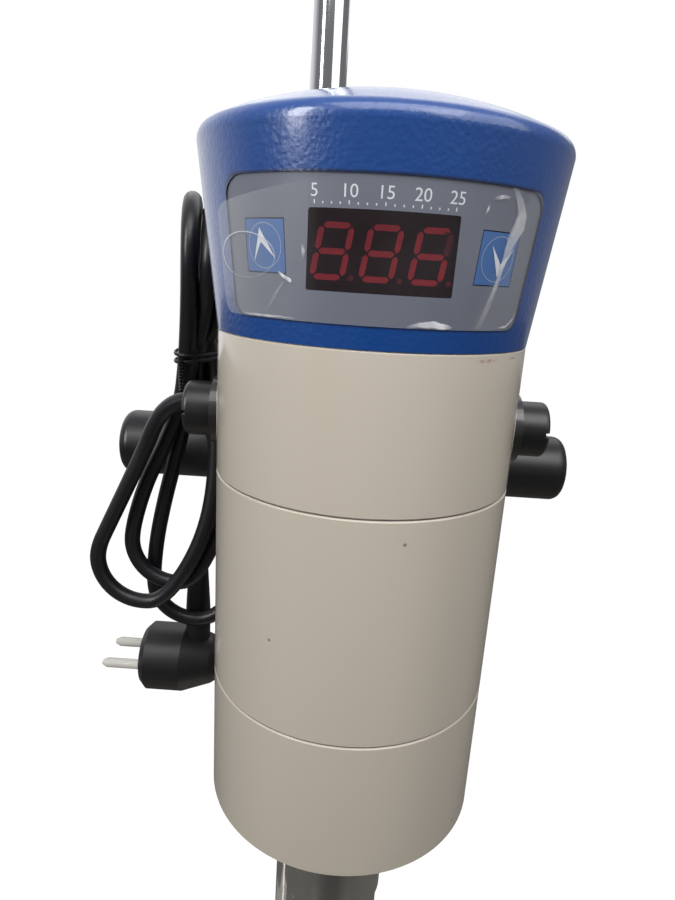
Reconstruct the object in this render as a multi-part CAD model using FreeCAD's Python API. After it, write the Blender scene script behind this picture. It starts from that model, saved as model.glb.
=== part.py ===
import FreeCAD, Part
import math
import os

# A laboratory homogenizer: a motor head on a rod stand, with a slotted rotor and stator tool.
# Millimetres. The origin is the centre of the base under its feet, +Z is up and the panel faces -Y.
# The axis of the head is the line x = 0, y = 0.

# Running and seating clearances
running_gap = 0.05
seat_gap = 0.02
face_gap = 0.3

# Base plate on four feet
base_width = 250.0
base_depth = 300.0
base_thickness = 14.0
base_corner_radius = 16.0
base_edge_radius = 2.5
foot_height = 8.0
foot_radius = 13.0
foot_taper = 2.0
foot_inset = 28.0
foot_recess_depth = 4.0
foot_screw_radius = 2.0
foot_screw_head_radius = 4.2
foot_screw_head_height = 2.4
foot_screw_depth = 8.0

# Column
column_x = -24.0
column_y = 99.0
column_radius = 8.0
column_height = 668.0
column_chamfer = 1.5
column_boss_radius = 21.0
column_boss_height = 16.0
column_boss_fillet = 4.0
column_tail_radius = 6.0
nut_recess_radius = 15.0
nut_recess_depth = 8.0
nut_flats = 18.0
nut_height = 5.6
washer_radius = 12.0
washer_thickness = 1.6

# Cross clamp that joins the column and the support arm
clamp_x = -7.5
clamp_half_width = 34.5
clamp_wall = 8.0
clamp_fillet = 4.0
liner_wall = 2.5
liner_flange_width = 3.5
liner_flange_thickness = 2.5
screw_boss_radius = 13.0
screw_boss_length = 12.0
clamp_screw_radius = 5.0
knob_radius = 16.0
knob_length = 62.0
knob_gap = 2.0
knob_end_radius = 5.0
knob_foot_radius = 2.0
knob_socket_depth = 40.0

# Support arm behind the head
arm_radius = 8.0
arm_height_on_head = 103.0
arm_reach = 25.0
arm_chamfer = 1.0
arm_flange_radius = 20.0
arm_flange_thickness = 8.0
arm_flange_fillet = 3.0
arm_screw_spacing = 24.0
arm_screw_radius = 2.0
arm_screw_head_radius = 3.5
arm_screw_head_height = 2.4

# Head housing in three sections
head_bottom = 310.0
housing_radius = 50.0
housing_wall = 4.0
lower_section = 51.2
middle_section = 75.3
upper_section = 46.8
seam_chamfer = 0.6
bottom_edge = 1.2
lip_thickness = 2.0
lip_height = 3.0
cap_lip_height = 8.0
floor_thickness = 6.0
hub_radius = 21.0
floor_slot_count = 12
floor_slot_width = 4.0
floor_slot_inner = 25.0
floor_slot_outer = 37.0
rear_slot_count = 5
rear_slot_width = 3.4
rear_slot_length = 20.0
rear_slot_pitch = 12.0
rear_slot_azimuth = 66.0
rear_slot_height = 6.0
bolt_circle_radius = 42.5
bolt_azimuths = (40.0, 140.0, 220.0, 320.0)
bolt_radius = 2.0
bolt_head_radius = 3.6
bolt_head_height = 3.0

# Control cap: a cone that flares upwards under a domed top
cap_cone_height = 56.7
cap_rim_radius = 57.0
cap_dome_height = 12.8
cap_rim_fillet = 4.5
cap_wall = 3.0
cap_shoulder_share = 0.6
cap_screw_azimuths = (40.0, 140.0)
cap_screw_radius = 1.5
cap_screw_head_radius = 2.8
cap_screw_head_height = 1.6
cap_screw_length = 6.5

# Panel, display and keys on the front of the cap
panel_low = 6.2
panel_high = 41.7
panel_half_angle = 50.0
panel_corner_radius = 4.5
panel_recess = 0.9
panel_thickness = 0.5
window_width = 37.2
window_height = 19.5
window_centre_height = 24.0
window_thickness = 1.2
window_corner_radius = 0.6
led_width = 36.6
led_height = 19.0
led_depth = 8.0
led_face_y = -46.3
digit_height = 14.2
digit_width = 7.6
digit_pitch = 12.5
digit_slant = 9.0
segment_width = 1.5
segment_gap = 0.35
segment_relief = 0.15
decimal_point_radius = 0.7
decimal_point_offset = 2.4
key_size = 13.0
key_angle = 35.0
key_height = 24.5
key_thickness = 4.4
key_side_gap = 0.3
key_flange_width = 0.8
key_flange_thickness = 1.0
key_travel = 0.4
switch_size = 6.2
switch_height = 3.4
switch_plunger_radius = 1.7
key_board_width = 13.0
key_board_height = 26.0
board_thickness = 1.6
key_post_radius = 1.8
key_post_offset = 10.5
display_board_y = -30.0
display_board_width = 50.0
display_board_height = 34.0
display_board_screw_x = 14.0
display_board_screw_z = 13.0
display_post_radius = 2.5
display_socket_inset = 3.0
display_socket_share = 0.33
display_chip_width = 18.0
display_chip_height = 8.0
display_chip_depth = 3.0
board_screw_radius = 1.2
power_board_radius = 36.0
power_board_front_y = -22.0
power_board_lift = 9.0
standoff_radius = 2.8
standoff_circle_radius = 30.0
standoff_azimuths = (0.0, 75.0, 180.0)
capacitor_radius = 7.0
capacitor_height = 22.0
capacitor_x = -14.0
capacitor_y = 12.0
heat_sink_x = 6.0
heat_sink_y = 6.0
heat_sink_depth = 18.0
heat_sink_foot = 4.0
heat_sink_height = 18.0
heat_sink_fins = 4
heat_sink_fin_pitch = 6.0
heat_sink_fin_thickness = 2.0
choke_outer_radius = 8.0
choke_inner_radius = 4.0
choke_height = 8.0
choke_x = 10.0
choke_y = -10.0

# Brush gear
brush_height = 17.9
brush_width = 7.0
brush_depth = 9.0
brush_length = 18.0
brush_gap = 0.1
holder_radius = 8.0
holder_inner_x = 16.0
holder_outer_x = 51.4
holder_socket_depth = 7.0
holder_socket_radius = 6.0
brush_boss_radius = 11.6
brush_boss_x = 51.6
brush_cap_radius = 9.35
brush_cap_length = 9.8
brush_cap_edge = 1.6
brush_cap_slot_width = 1.6
brush_cap_slot_depth = 1.6
spring_radius = 2.8
spring_wire_radius = 0.4
spring_turns = 5
spring_steps_per_turn = 10

# Motor
stack_bottom = 65.0
stack_length = 48.0
stator_clearance = 0.2
yoke_thickness = 8.0
pole_bore_radius = 23.0
pole_shoe_thickness = 4.5
pole_neck_width = 24.0
pole_shoe_half_angle = 62.0
coil_half_width = 20.0
coil_overhang = 8.0
coil_gap = 0.4
stator_ledge_width = 4.0
stator_ledge_height = 3.0
air_gap = 0.6
slot_count = 12
slot_width = 3.2
slot_floor_radius = 12.0
slot_mouth_width = 1.4
slot_lip = 1.4
end_turn_height = 11.0
end_turn_shoulder = 4.0
end_turn_slope = 2.0
end_turn_neck = 9.0
shaft_radius = 6.5
shaft_foot_radius = 5.0
shaft_top_radius = 4.0
commutator_radius = 13.0
commutator_length = 18.0
commutator_bars = 24
commutator_slot_width = 0.5
commutator_slot_depth = 1.0
riser_radius = 14.5
riser_thickness = 2.4
fan_radius = 38.0
fan_hub_radius = 11.0
fan_height = 12.0
fan_plate_thickness = 2.0
fan_blade_count = 11
fan_blade_thickness = 1.6
fan_blade_lean = 20.0
fan_lift = 23.0
upper_bearing_radius = 11.0
upper_bearing_width = 7.0
lower_bearing_radius = 13.0
lower_bearing_width = 8.0
bearing_shield_depth = 0.5
bearing_ring_width = 2.0
bracket_lift = 31.5
bracket_thickness = 6.0
bracket_hub_radius = 15.0
bracket_hub_height = 11.0
bracket_floor = 2.0
bracket_window_inner = 19.0
bracket_window_outer = 36.0
bracket_window_angle = 50.0
bracket_ledge_width = 4.0
bracket_ledge_height = 3.5

# Nose under the head and its union nut
nose_radius = 20.0
nose_length = 54.5
nose_edge = 0.5
nose_spigot_radius = 17.0
nose_spigot_height = 7.0
nose_chamber_radius = 14.0
nose_thread_radius = 15.0
nose_thread_length = 15.5
nose_floor = 6.0
seal_low = 10.0
seal_height = 6.0
coupling_radius = 9.0
coupling_length = 30.0
coupling_web = 3.0
coupling_top_below_head = 22.0
nut_radius = 19.0
nut_lip_thickness = 4.0
nut_rim_gap = 1.0
knurl_count = 18
knurl_radius = 1.2

# Rotor and stator tool
tool_flange_radius = 14.5
tool_flange_thickness = 4.0
tool_tube_radius = 9.0
tool_tube_wall = 1.5
tool_tip = 75.0
tool_shaft_radius = 4.0
tool_bush_length = 12.0
tool_hole_radius = 3.0
tool_hole_lift = 50.0
crown_radius = 12.5
crown_wall = 1.5
crown_height = 20.0
crown_shoulder = 2.0
collar_height = 14.0
crown_slot_pairs = 6
crown_slot_width = 2.0
crown_slot_height = 14.0
crown_slot_lift = 2.5
knife_gap = 0.4
knife_lift = 2.0
knife_height = 15.0
knife_hub_radius = 5.6
knife_blade_thickness = 2.0
knife_floor = 2.2

# Mains cord with its gland, hank, tie and plug, in the frame of the head
cord_radius = 3.5
gland_azimuth = 150.0
gland_height = 139.0
gland_flange_radius = 7.5
gland_flange_thickness = 3.0
gland_neck_radius = 5.5
gland_collar_radius = 6.5
gland_collar_thickness = 1.2
gland_sleeve_length = 20.0
gland_sleeve_radius = 6.2
gland_tip_radius = 4.8
hank_front_outline = (
    (-52.0, 215.0), (-66.0, 224.0), (-80.5, 210.0), (-80.0, 180.0), (-79.0, 154.5), (-88.0, 129.0),
    (-107.0, 96.0), (-119.0, 64.0), (-111.0, 42.0), (-92.0, 26.0), (-74.0, 20.5), (-54.0, 29.0),
    (-42.5, 60.0), (-45.5, 110.0), (-61.0, 154.5), (-53.0, 185.0),
)
hank_side_outline = (
    (45.5, 15.0), (67.0, 15.0), (67.0, 104.0), (79.5, 140.0), (80.0, 199.0), (73.0, 213.0), (62.0, 221.0),
    (47.0, 221.0), (36.0, 213.0), (29.5, 199.0), (31.0, 180.0), (44.0, 156.0), (45.5, 130.0),
)
hank_side_reach = 150.0
lead_points = ((-71.4, 41.3, 139.0), (-79.8, 44.0, 135.4), (-86.5, 45.8, 128.8), (-96.5, 48.5, 108.8))
tie_low = 152.5
tie_height = 4.0
tie_thickness = 1.2
tie_left, tie_right = -80.2, -60.0
tie_front, tie_back = 43.0, 80.0
plug_axis_y = 73.0
plug_cord_x = -75.0
plug_centre_height = -3.6
plug_radius = 16.8
plug_face_x = -102.0
plug_back_x = -64.5
plug_edge = 3.0
plug_relief_radius = 6.0
plug_relief_top_radius = 4.6
plug_relief_length = 38.5
pin_radius = 2.4
pin_length = 19.0
pin_spacing = 19.0
tail_points = ((-75.0, 73.0, 64.0), (-66.0, 73.4, 88.0), (-66.0, 68.0, 125.0))

# Heights that follow from the sizes above
base_bottom = foot_height
base_top = base_bottom + base_thickness
boss_top = base_top + column_boss_height
column_top = base_top + column_height
lower_seam = head_bottom + lower_section
middle_seam = lower_seam + middle_section
cap_seam = middle_seam + upper_section
cap_rim = cap_seam + cap_cone_height
inner_radius = housing_radius - housing_wall
lip_radius = housing_radius - lip_thickness
arm_z = head_bottom + arm_height_on_head
liner_radius = column_radius + running_gap + liner_wall
arm_liner_radius = arm_radius + running_gap + liner_wall
clamp_half_depth = liner_radius + clamp_wall
clamp_half_height = arm_liner_radius + clamp_wall
clamp_left = clamp_x - clamp_half_width
clamp_right = clamp_x + clamp_half_width
arm_end_y = column_y + clamp_half_depth + face_gap + liner_flange_thickness + arm_reach
brush_z = middle_seam + brush_height
stack_low = head_bottom + stack_bottom
stack_high = stack_low + stack_length
stator_radius = inner_radius - stator_clearance
armature_radius = pole_bore_radius - air_gap
bracket_low = middle_seam + bracket_lift
bracket_top = bracket_low + bracket_thickness
spigot_top = head_bottom + nose_spigot_height
lower_bearing_low = spigot_top + 2.0
hub_top = lower_bearing_low + lower_bearing_width + 1.0
upper_bearing_low = bracket_low + bracket_floor
shaft_shoulder_low = lower_bearing_low + lower_bearing_width
shaft_shoulder_high = upper_bearing_low - face_gap
nose_bottom = head_bottom - nose_length
thread_bottom = nose_bottom - nose_thread_length
coupling_top = head_bottom - coupling_top_below_head
coupling_bottom = coupling_top - coupling_length
coupling_middle = (coupling_top + coupling_bottom) / 2
tool_flange_low = thread_bottom - tool_flange_thickness
crown_top = tool_tip + crown_height
tube_bottom = crown_top + crown_shoulder
crown_bore = crown_radius - crown_wall
tube_bore = tool_tube_radius - tool_tube_wall


def vector(x, y, z):
    return FreeCAD.Vector(x, y, z)


def around(azimuth, radius, z=0.0):
    angle = math.radians(azimuth)
    return vector(radius * math.cos(angle), radius * math.sin(angle), z)


def disc(radius, low, high, x=0.0, y=0.0):
    return Part.makeCylinder(radius, high - low, vector(x, y, low))


def ring(outer, inner, low, high, x=0.0, y=0.0):
    return disc(outer, low, high, x, y).cut(disc(inner, low, high, x, y))


def rod(radius, start, end):
    return Part.makeCylinder(radius, (end - start).Length, start, end - start)


def block(x_low, x_high, y_low, y_high, z_low, z_high):
    return Part.makeBox(x_high - x_low, y_high - y_low, z_high - z_low, vector(x_low, y_low, z_low))


def turned(profile, x=0.0, y=0.0):
    corners = [vector(x + radius, y, z) for radius, z in profile]
    face = Part.Face(Part.makePolygon(corners + corners[:1]))
    return face.revolve(vector(x, y, 0), vector(0, 0, 1), 360)


def turned_along(profile, start, direction):
    shape = turned(profile)
    shape.Placement = FreeCAD.Placement(start, FreeCAD.Rotation(vector(0, 0, 1), direction))
    return shape


def spun(shape, azimuth, x=0.0, y=0.0):
    copy = shape.copy()
    copy.rotate(vector(x, y, 0), vector(0, 0, 1), azimuth)
    return copy


def edges_at_height(shape, z):
    chosen = []
    for edge in shape.Edges:
        box = edge.BoundBox
        if abs(box.ZMin - z) < 1e-4 and abs(box.ZMax - z) < 1e-4:
            chosen.append(edge)
    return chosen


def edges_along(shape, direction):
    chosen = []
    for edge in shape.Edges:
        if isinstance(edge.Curve, Part.Line) and edge.Curve.Direction.cross(direction).Length < 1e-4:
            chosen.append(edge)
    return chosen


def hexagon(flats, low, high, x, y):
    corner = flats / math.sqrt(3)
    points = [around(60 * i, corner, low) + vector(x, y, 0) for i in range(7)]
    return Part.Face(Part.makePolygon(points)).extrude(vector(0, 0, high - low))


# Stand

def foot_places():
    x = base_width / 2 - foot_inset
    y = base_depth / 2 - foot_inset
    return [(-x, -y), (x, -y), (x, y), (-x, y)]


def base_plate():
    plate = block(-base_width / 2, base_width / 2, -base_depth / 2, base_depth / 2, base_bottom, base_top)
    plate = plate.makeFillet(base_corner_radius, edges_along(plate, vector(0, 0, 1)))
    plate = plate.makeFillet(base_edge_radius, edges_at_height(plate, base_top))
    flare_radius = column_boss_radius + column_boss_fillet
    boss = disc(flare_radius, base_top - 1, boss_top, column_x, column_y)
    cove = ring(flare_radius + 1, column_boss_radius, base_top + column_boss_fillet, boss_top, column_x, column_y)
    cove = cove.fuse(Part.makeTorus(flare_radius, column_boss_fillet,
                                    vector(column_x, column_y, base_top + column_boss_fillet)))
    plate = plate.fuse(boss.cut(cove)).removeSplitter()
    plate = plate.cut(disc(column_radius + seat_gap, base_top, boss_top, column_x, column_y))
    plate = plate.cut(disc(column_tail_radius + seat_gap, base_bottom, base_top, column_x, column_y))
    plate = plate.cut(disc(nut_recess_radius, base_bottom, base_bottom + nut_recess_depth, column_x, column_y))
    for x, y in foot_places():
        plate = plate.cut(disc(foot_screw_radius + seat_gap, base_bottom, base_bottom + foot_screw_depth, x, y))
    return plate


def rubber_feet():
    feet = []
    for x, y in foot_places():
        foot = turned([
            (foot_screw_head_radius + 1, 0), (foot_radius - foot_taper, 0), (foot_radius, foot_height),
            (foot_screw_radius + seat_gap, foot_height), (foot_screw_radius + seat_gap, foot_recess_depth),
            (foot_screw_head_radius + 1, foot_recess_depth),
        ], x, y)
        feet.append(foot)
    return Part.makeCompound(feet)


def foot_screws():
    screws = []
    head_low = foot_recess_depth - foot_screw_head_height
    for x, y in foot_places():
        shank = disc(foot_screw_radius, foot_recess_depth, base_bottom + foot_screw_depth, x, y)
        screws.append(shank.fuse(disc(foot_screw_head_radius, head_low, foot_recess_depth, x, y)))
    return Part.makeCompound(screws)


def column():
    tail_low = base_bottom + face_gap
    return turned([
        (0, tail_low), (column_tail_radius, tail_low), (column_tail_radius, base_top),
        (column_radius, base_top), (column_radius, column_top - column_chamfer),
        (column_radius - column_chamfer, column_top), (0, column_top),
    ], column_x, column_y)


def column_nut():
    recess_top = base_bottom + nut_recess_depth
    washer_low = recess_top - washer_thickness
    bore = column_tail_radius + seat_gap
    washer = ring(washer_radius, bore, washer_low, recess_top, column_x, column_y)
    nut = hexagon(nut_flats, washer_low - nut_height, washer_low, column_x, column_y)
    nut = nut.cut(disc(bore, washer_low - nut_height, washer_low, column_x, column_y))
    return Part.makeCompound([washer, nut])


# Cross clamp

def flanged_liner(bore, radius, half_length, start, direction):
    seat = half_length + face_gap
    end = seat + liner_flange_thickness
    flange = radius + liner_flange_width
    return turned_along([
        (bore, -end), (flange, -end), (flange, -seat), (radius, -seat),
        (radius, seat), (flange, seat), (flange, end), (bore, end),
    ], start, direction)


def column_liner():
    centre = vector(column_x, column_y, arm_z)
    return flanged_liner(column_radius + running_gap, liner_radius, clamp_half_height, centre, vector(0, 0, 1))


def arm_liner():
    centre = vector(0, column_y, arm_z)
    return flanged_liner(arm_radius + running_gap, arm_liner_radius, clamp_half_depth, centre, vector(0, 1, 0))


def clamp_body():
    front, back = column_y - clamp_half_depth, column_y + clamp_half_depth
    low, high = arm_z - clamp_half_height, arm_z + clamp_half_height
    body = block(clamp_left, clamp_right, front, back, low, high)
    body = body.makeFillet(clamp_fillet, edges_along(body, vector(1, 0, 0)))
    bosses = rod(screw_boss_radius, vector(clamp_left - screw_boss_length, column_y, arm_z),
                 vector(clamp_right + screw_boss_length, column_y, arm_z))
    body = body.fuse(bosses).removeSplitter()
    body = body.cut(disc(liner_radius + running_gap, low, high, column_x, column_y))
    body = body.cut(rod(arm_liner_radius + running_gap, vector(0, front, arm_z), vector(0, back, arm_z)))
    hole = clamp_screw_radius + running_gap
    left_end = vector(clamp_left - screw_boss_length, column_y, arm_z)
    right_end = vector(clamp_right + screw_boss_length, column_y, arm_z)
    body = body.cut(rod(hole, left_end, vector(column_x, column_y, arm_z)))
    return body.cut(rod(hole, right_end, vector(0, column_y, arm_z)))


def clamp_knob(foot_x, side):
    profile = [(0, 0)]
    profile += [(knob_radius - knob_foot_radius, 0), (knob_radius, knob_foot_radius)]
    arc_centre = knob_length - knob_end_radius
    for step in range(7):
        angle = math.radians(15 * step)
        profile.append((knob_radius - knob_end_radius * (1 - math.cos(angle)),
                        arc_centre + knob_end_radius * math.sin(angle)))
    profile.append((0, knob_length))
    start = vector(foot_x, column_y, arm_z)
    knob = turned_along(profile, start, vector(side, 0, 0))
    socket = rod(clamp_screw_radius + seat_gap, start, start + vector(side * knob_socket_depth, 0, 0))
    return knob.cut(socket)


def clamp_screw(tip_x, foot_x, side):
    end_x = foot_x + side * (knob_socket_depth - face_gap)
    return rod(clamp_screw_radius, vector(tip_x, column_y, arm_z), vector(end_x, column_y, arm_z))


left_knob_foot = clamp_left - screw_boss_length - knob_gap
right_knob_foot = clamp_right + screw_boss_length + knob_gap
left_screw_tip = column_x - liner_radius - face_gap / 2
right_screw_tip = arm_liner_radius + face_gap / 2


# Support arm

def arm_screw_places():
    half = arm_screw_spacing / 2
    return [(-half, arm_z - half), (half, arm_z - half), (half, arm_z + half), (-half, arm_z + half)]


def support_arm():
    flange_back = housing_radius + arm_flange_thickness
    cove = flange_back + arm_flange_fillet
    arm = turned_along([
        (0, 0), (arm_flange_radius, 0), (arm_flange_radius, flange_back - arm_chamfer),
        (arm_flange_radius - arm_chamfer, flange_back), (arm_radius + arm_flange_fillet, flange_back),
        (arm_radius, cove), (arm_radius, arm_end_y - arm_chamfer), (arm_radius - arm_chamfer, arm_end_y),
        (0, arm_end_y),
    ], vector(0, 0, arm_z), vector(0, 1, 0))
    arm = arm.cut(disc(housing_radius + seat_gap, arm_z - arm_flange_radius, arm_z + arm_flange_radius))
    for x, z in arm_screw_places():
        arm = arm.cut(rod(arm_screw_radius + seat_gap, vector(x, 0, z), vector(x, flange_back, z)))
    return arm


def head_screws():
    screws = []
    flange_back = housing_radius + arm_flange_thickness
    for x, z in arm_screw_places():
        inner_y = math.sqrt(inner_radius ** 2 - x ** 2) + 0.5
        shank = rod(arm_screw_radius, vector(x, inner_y, z), vector(x, flange_back, z))
        head = rod(arm_screw_head_radius, vector(x, flange_back, z),
                   vector(x, flange_back + arm_screw_head_height, z))
        screws.append(shank.fuse(head))
    z = cap_seam + cap_lip_height / 2
    seat = cone_radius(z) + seat_gap
    for azimuth in cap_screw_azimuths:
        shank = rod(cap_screw_radius, around(azimuth, seat - cap_screw_length, z), around(azimuth, seat, z))
        head = rod(cap_screw_head_radius, around(azimuth, seat, z),
                   around(azimuth, seat + cap_screw_head_height, z))
        screws.append(shank.fuse(head))
    return Part.makeCompound(screws)


# Housing sections

def bolt_holes(low, high):
    return [disc(bolt_radius + running_gap, low, high, point.x, point.y)
            for point in (around(azimuth, bolt_circle_radius) for azimuth in bolt_azimuths)]


def upper_rim(seam, height):
    return [
        (housing_radius, seam - seam_chamfer), (housing_radius - seam_chamfer, seam), (lip_radius, seam),
        (lip_radius, seam + height), (inner_radius, seam + height),
    ]


def lower_rim(seam):
    socket = lip_radius + running_gap
    return [
        (inner_radius, seam + lip_height + face_gap), (socket, seam + lip_height + face_gap), (socket, seam),
        (housing_radius - seam_chamfer, seam), (housing_radius, seam + seam_chamfer),
    ]


def lower_housing():
    floor_top = head_bottom + floor_thickness
    spigot_hole = nose_spigot_radius + seat_gap
    bearing_seat = lower_bearing_radius + seat_gap
    shaft_hole = lower_bearing_radius - bearing_ring_width
    shell = turned([
        (spigot_hole, head_bottom), (housing_radius - bottom_edge, head_bottom),
        (housing_radius, head_bottom + bottom_edge),
    ] + upper_rim(lower_seam, lip_height) + [
        (inner_radius, floor_top), (hub_radius, floor_top), (hub_radius, hub_top), (bearing_seat, hub_top),
        (bearing_seat, lower_bearing_low), (shaft_hole, lower_bearing_low), (shaft_hole, spigot_top),
        (spigot_hole, spigot_top),
    ])
    slot = block(floor_slot_inner, floor_slot_outer, -floor_slot_width / 2, floor_slot_width / 2,
                 head_bottom - 1, floor_top + 1)
    cuts = [spun(slot, 360 * i / floor_slot_count) for i in range(floor_slot_count)]
    cuts += bolt_holes(head_bottom, floor_top)
    for azimuth in bolt_azimuths:
        point = around(azimuth, bolt_circle_radius)
        cuts.append(disc(bolt_head_radius + running_gap, head_bottom, head_bottom + bolt_head_height, point.x, point.y))
    return shell.cut(cuts)


def middle_housing():
    ledge_radius = inner_radius - stator_ledge_width
    ledge_low = stack_low - stator_ledge_height
    shell = turned(lower_rim(lower_seam) + upper_rim(middle_seam, lip_height) + [
        (inner_radius, stack_low), (ledge_radius, stack_low), (ledge_radius, ledge_low), (inner_radius, ledge_low),
    ])
    cuts = bolt_holes(ledge_low, stack_low)
    for x, z in arm_screw_places():
        cuts.append(rod(arm_screw_radius + seat_gap, vector(x, 0, z), vector(x, housing_radius, z)))
    return shell.cut(cuts)


def upper_housing():
    ledge_radius = inner_radius - bracket_ledge_width
    ledge_low = bracket_low - bracket_ledge_height
    shell = turned(lower_rim(middle_seam) + upper_rim(cap_seam, cap_lip_height) + [
        (inner_radius, bracket_low), (ledge_radius, bracket_low), (ledge_radius, ledge_low),
        (inner_radius, ledge_low),
    ])
    mid_wall = housing_radius - housing_wall / 2
    for side in (-1, 1):
        shell = shell.fuse(rod(brush_boss_radius, vector(side * mid_wall, 0, brush_z),
                               vector(side * brush_boss_x, 0, brush_z)))
    shell = shell.cut(disc(inner_radius, middle_seam + lip_height + face_gap, ledge_low))
    reach = housing_radius + housing_wall
    cuts = bolt_holes(ledge_low, bracket_low)
    cuts.append(rod(holder_radius + seat_gap, vector(-reach, 0, brush_z), vector(reach, 0, brush_z)))
    gland_z = head_bottom + gland_height
    cuts.append(rod(gland_neck_radius + seat_gap, around(gland_azimuth, inner_radius - 2, gland_z),
                    around(gland_azimuth, reach, gland_z)))
    slot_low = middle_seam + rear_slot_height
    slot = block(inner_radius - 3, reach, -rear_slot_width / 2, rear_slot_width / 2,
                 slot_low, slot_low + rear_slot_length)
    for i in range(rear_slot_count):
        offset = i - (rear_slot_count - 1) / 2
        cuts.append(spun(slot, rear_slot_azimuth + offset * rear_slot_pitch))
    screw_z = cap_seam + cap_lip_height / 2
    for azimuth in cap_screw_azimuths:
        cuts.append(rod(cap_screw_radius + seat_gap, around(azimuth, inner_radius - 3, screw_z),
                        around(azimuth, reach, screw_z)))
    return shell.cut(cuts)


def housing_bolts():
    bolts = []
    for azimuth in bolt_azimuths:
        point = around(azimuth, bolt_circle_radius)
        head_top = head_bottom + bolt_head_height
        shank = disc(bolt_radius, head_top, bracket_top, point.x, point.y)
        bolts.append(shank.fuse(disc(bolt_head_radius, head_bottom + face_gap, head_top, point.x, point.y)))
    return Part.makeCompound(bolts)


# Control cap

def cone_radius(z):
    share = (z - cap_seam) / cap_cone_height
    return housing_radius + (cap_rim_radius - housing_radius) * share


def cone(inset):
    return Part.makeCone(housing_radius - inset, cap_rim_radius - inset, cap_cone_height, vector(0, 0, cap_seam))


def cone_skin(outer_inset, inner_inset):
    return cone(outer_inset).cut(cone(inner_inset))


def dome_radius():
    return (cap_rim_radius ** 2 + cap_dome_height ** 2) / (2 * cap_dome_height)


def cap_outline():
    # The rim's arc touches the cone's line and the dome's circle.
    slope = vector(cap_rim_radius - housing_radius, 0, cap_cone_height).normalize()
    inward = vector(-slope.z, 0, slope.x)
    foot, crown = vector(housing_radius, 0, cap_seam), vector(0, 0, cap_rim + cap_dome_height)
    dome_centre = vector(0, 0, crown.z - dome_radius())
    offset = foot + inward * cap_rim_fillet - dome_centre
    along = offset.dot(slope)
    reach = math.sqrt(along ** 2 - offset.dot(offset) + (dome_radius() - cap_rim_fillet) ** 2) - along
    rim_centre = foot + inward * cap_rim_fillet + slope * reach
    cone_end = foot + slope * reach
    outward = (rim_centre - dome_centre).normalize()
    dome_end = dome_centre + outward * dome_radius()
    rim_middle = rim_centre + (outward - inward).normalize() * cap_rim_fillet
    dome_middle = dome_centre + (outward + vector(0, 0, 1)).normalize() * dome_radius()
    axis_foot = vector(0, 0, cap_seam)
    return Part.Wire([
        Part.LineSegment(axis_foot, foot).toShape(), Part.LineSegment(foot, cone_end).toShape(),
        Part.Arc(cone_end, rim_middle, dome_end).toShape(), Part.Arc(dome_end, dome_middle, crown).toShape(),
        Part.LineSegment(crown, axis_foot).toShape(),
    ])


def cap_cavity(wall):
    ceiling = cap_rim + cap_dome_height - wall
    shoulder = cap_rim_radius * cap_shoulder_share
    shoulder_drop = dome_radius() - math.sqrt(dome_radius() ** 2 - shoulder ** 2)
    rim = cap_rim - wall
    return turned([(0, cap_seam), (housing_radius - wall, cap_seam), (cone_radius(rim) - wall, rim),
                   (shoulder, ceiling - shoulder_drop), (0, ceiling - shoulder_drop)])


def panel_prism(low, high, half_angle, corner_radius):
    reach = math.sin(math.radians(half_angle))
    x_low, x_high = cone_radius(low) * reach, cone_radius(high) * reach
    corners = [vector(-x_low, 0, low), vector(x_low, 0, low), vector(x_high, 0, high), vector(-x_high, 0, high)]
    face = Part.Face(Part.makePolygon(corners + corners[:1]))
    prism = face.extrude(vector(0, -cap_rim_radius - 1, 0))
    return prism.makeFillet(corner_radius, edges_along(prism, vector(0, 1, 0)))


def whole_panel():
    return panel_prism(cap_seam + panel_low, cap_seam + panel_high, panel_half_angle, panel_corner_radius)


window_z = cap_seam + window_centre_height
key_z = cap_seam + key_height


def window_prism(gap):
    half_width, half_height = window_width / 2 + gap, window_height / 2 + gap
    prism = block(-half_width, half_width, -cap_rim_radius - 1, -inner_radius / 2,
                  window_z - half_height, window_z + half_height)
    return prism.makeFillet(window_corner_radius, edges_along(prism, vector(0, 1, 0)))


def facing(side, near, far, half_width, low, high):
    slab = block(near, far, -half_width, half_width, low, high)
    return spun(slab, -90 + side * key_angle)


def key_post(side, start, end, radius, z):
    azimuth = -90 + side * key_angle
    return rod(radius, around(azimuth, start, z), around(azimuth, end, z))


key_half = key_size / 2
key_back = cone_radius(key_z) - panel_recess - key_thickness
key_flange_back = key_back - key_flange_thickness
plunger_tip = key_flange_back - key_travel - running_gap
switch_front = plunger_tip - 0.5
switch_back = switch_front - switch_height
key_board_back = switch_back - board_thickness
outside_reach = cap_rim_radius + 5


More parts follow.
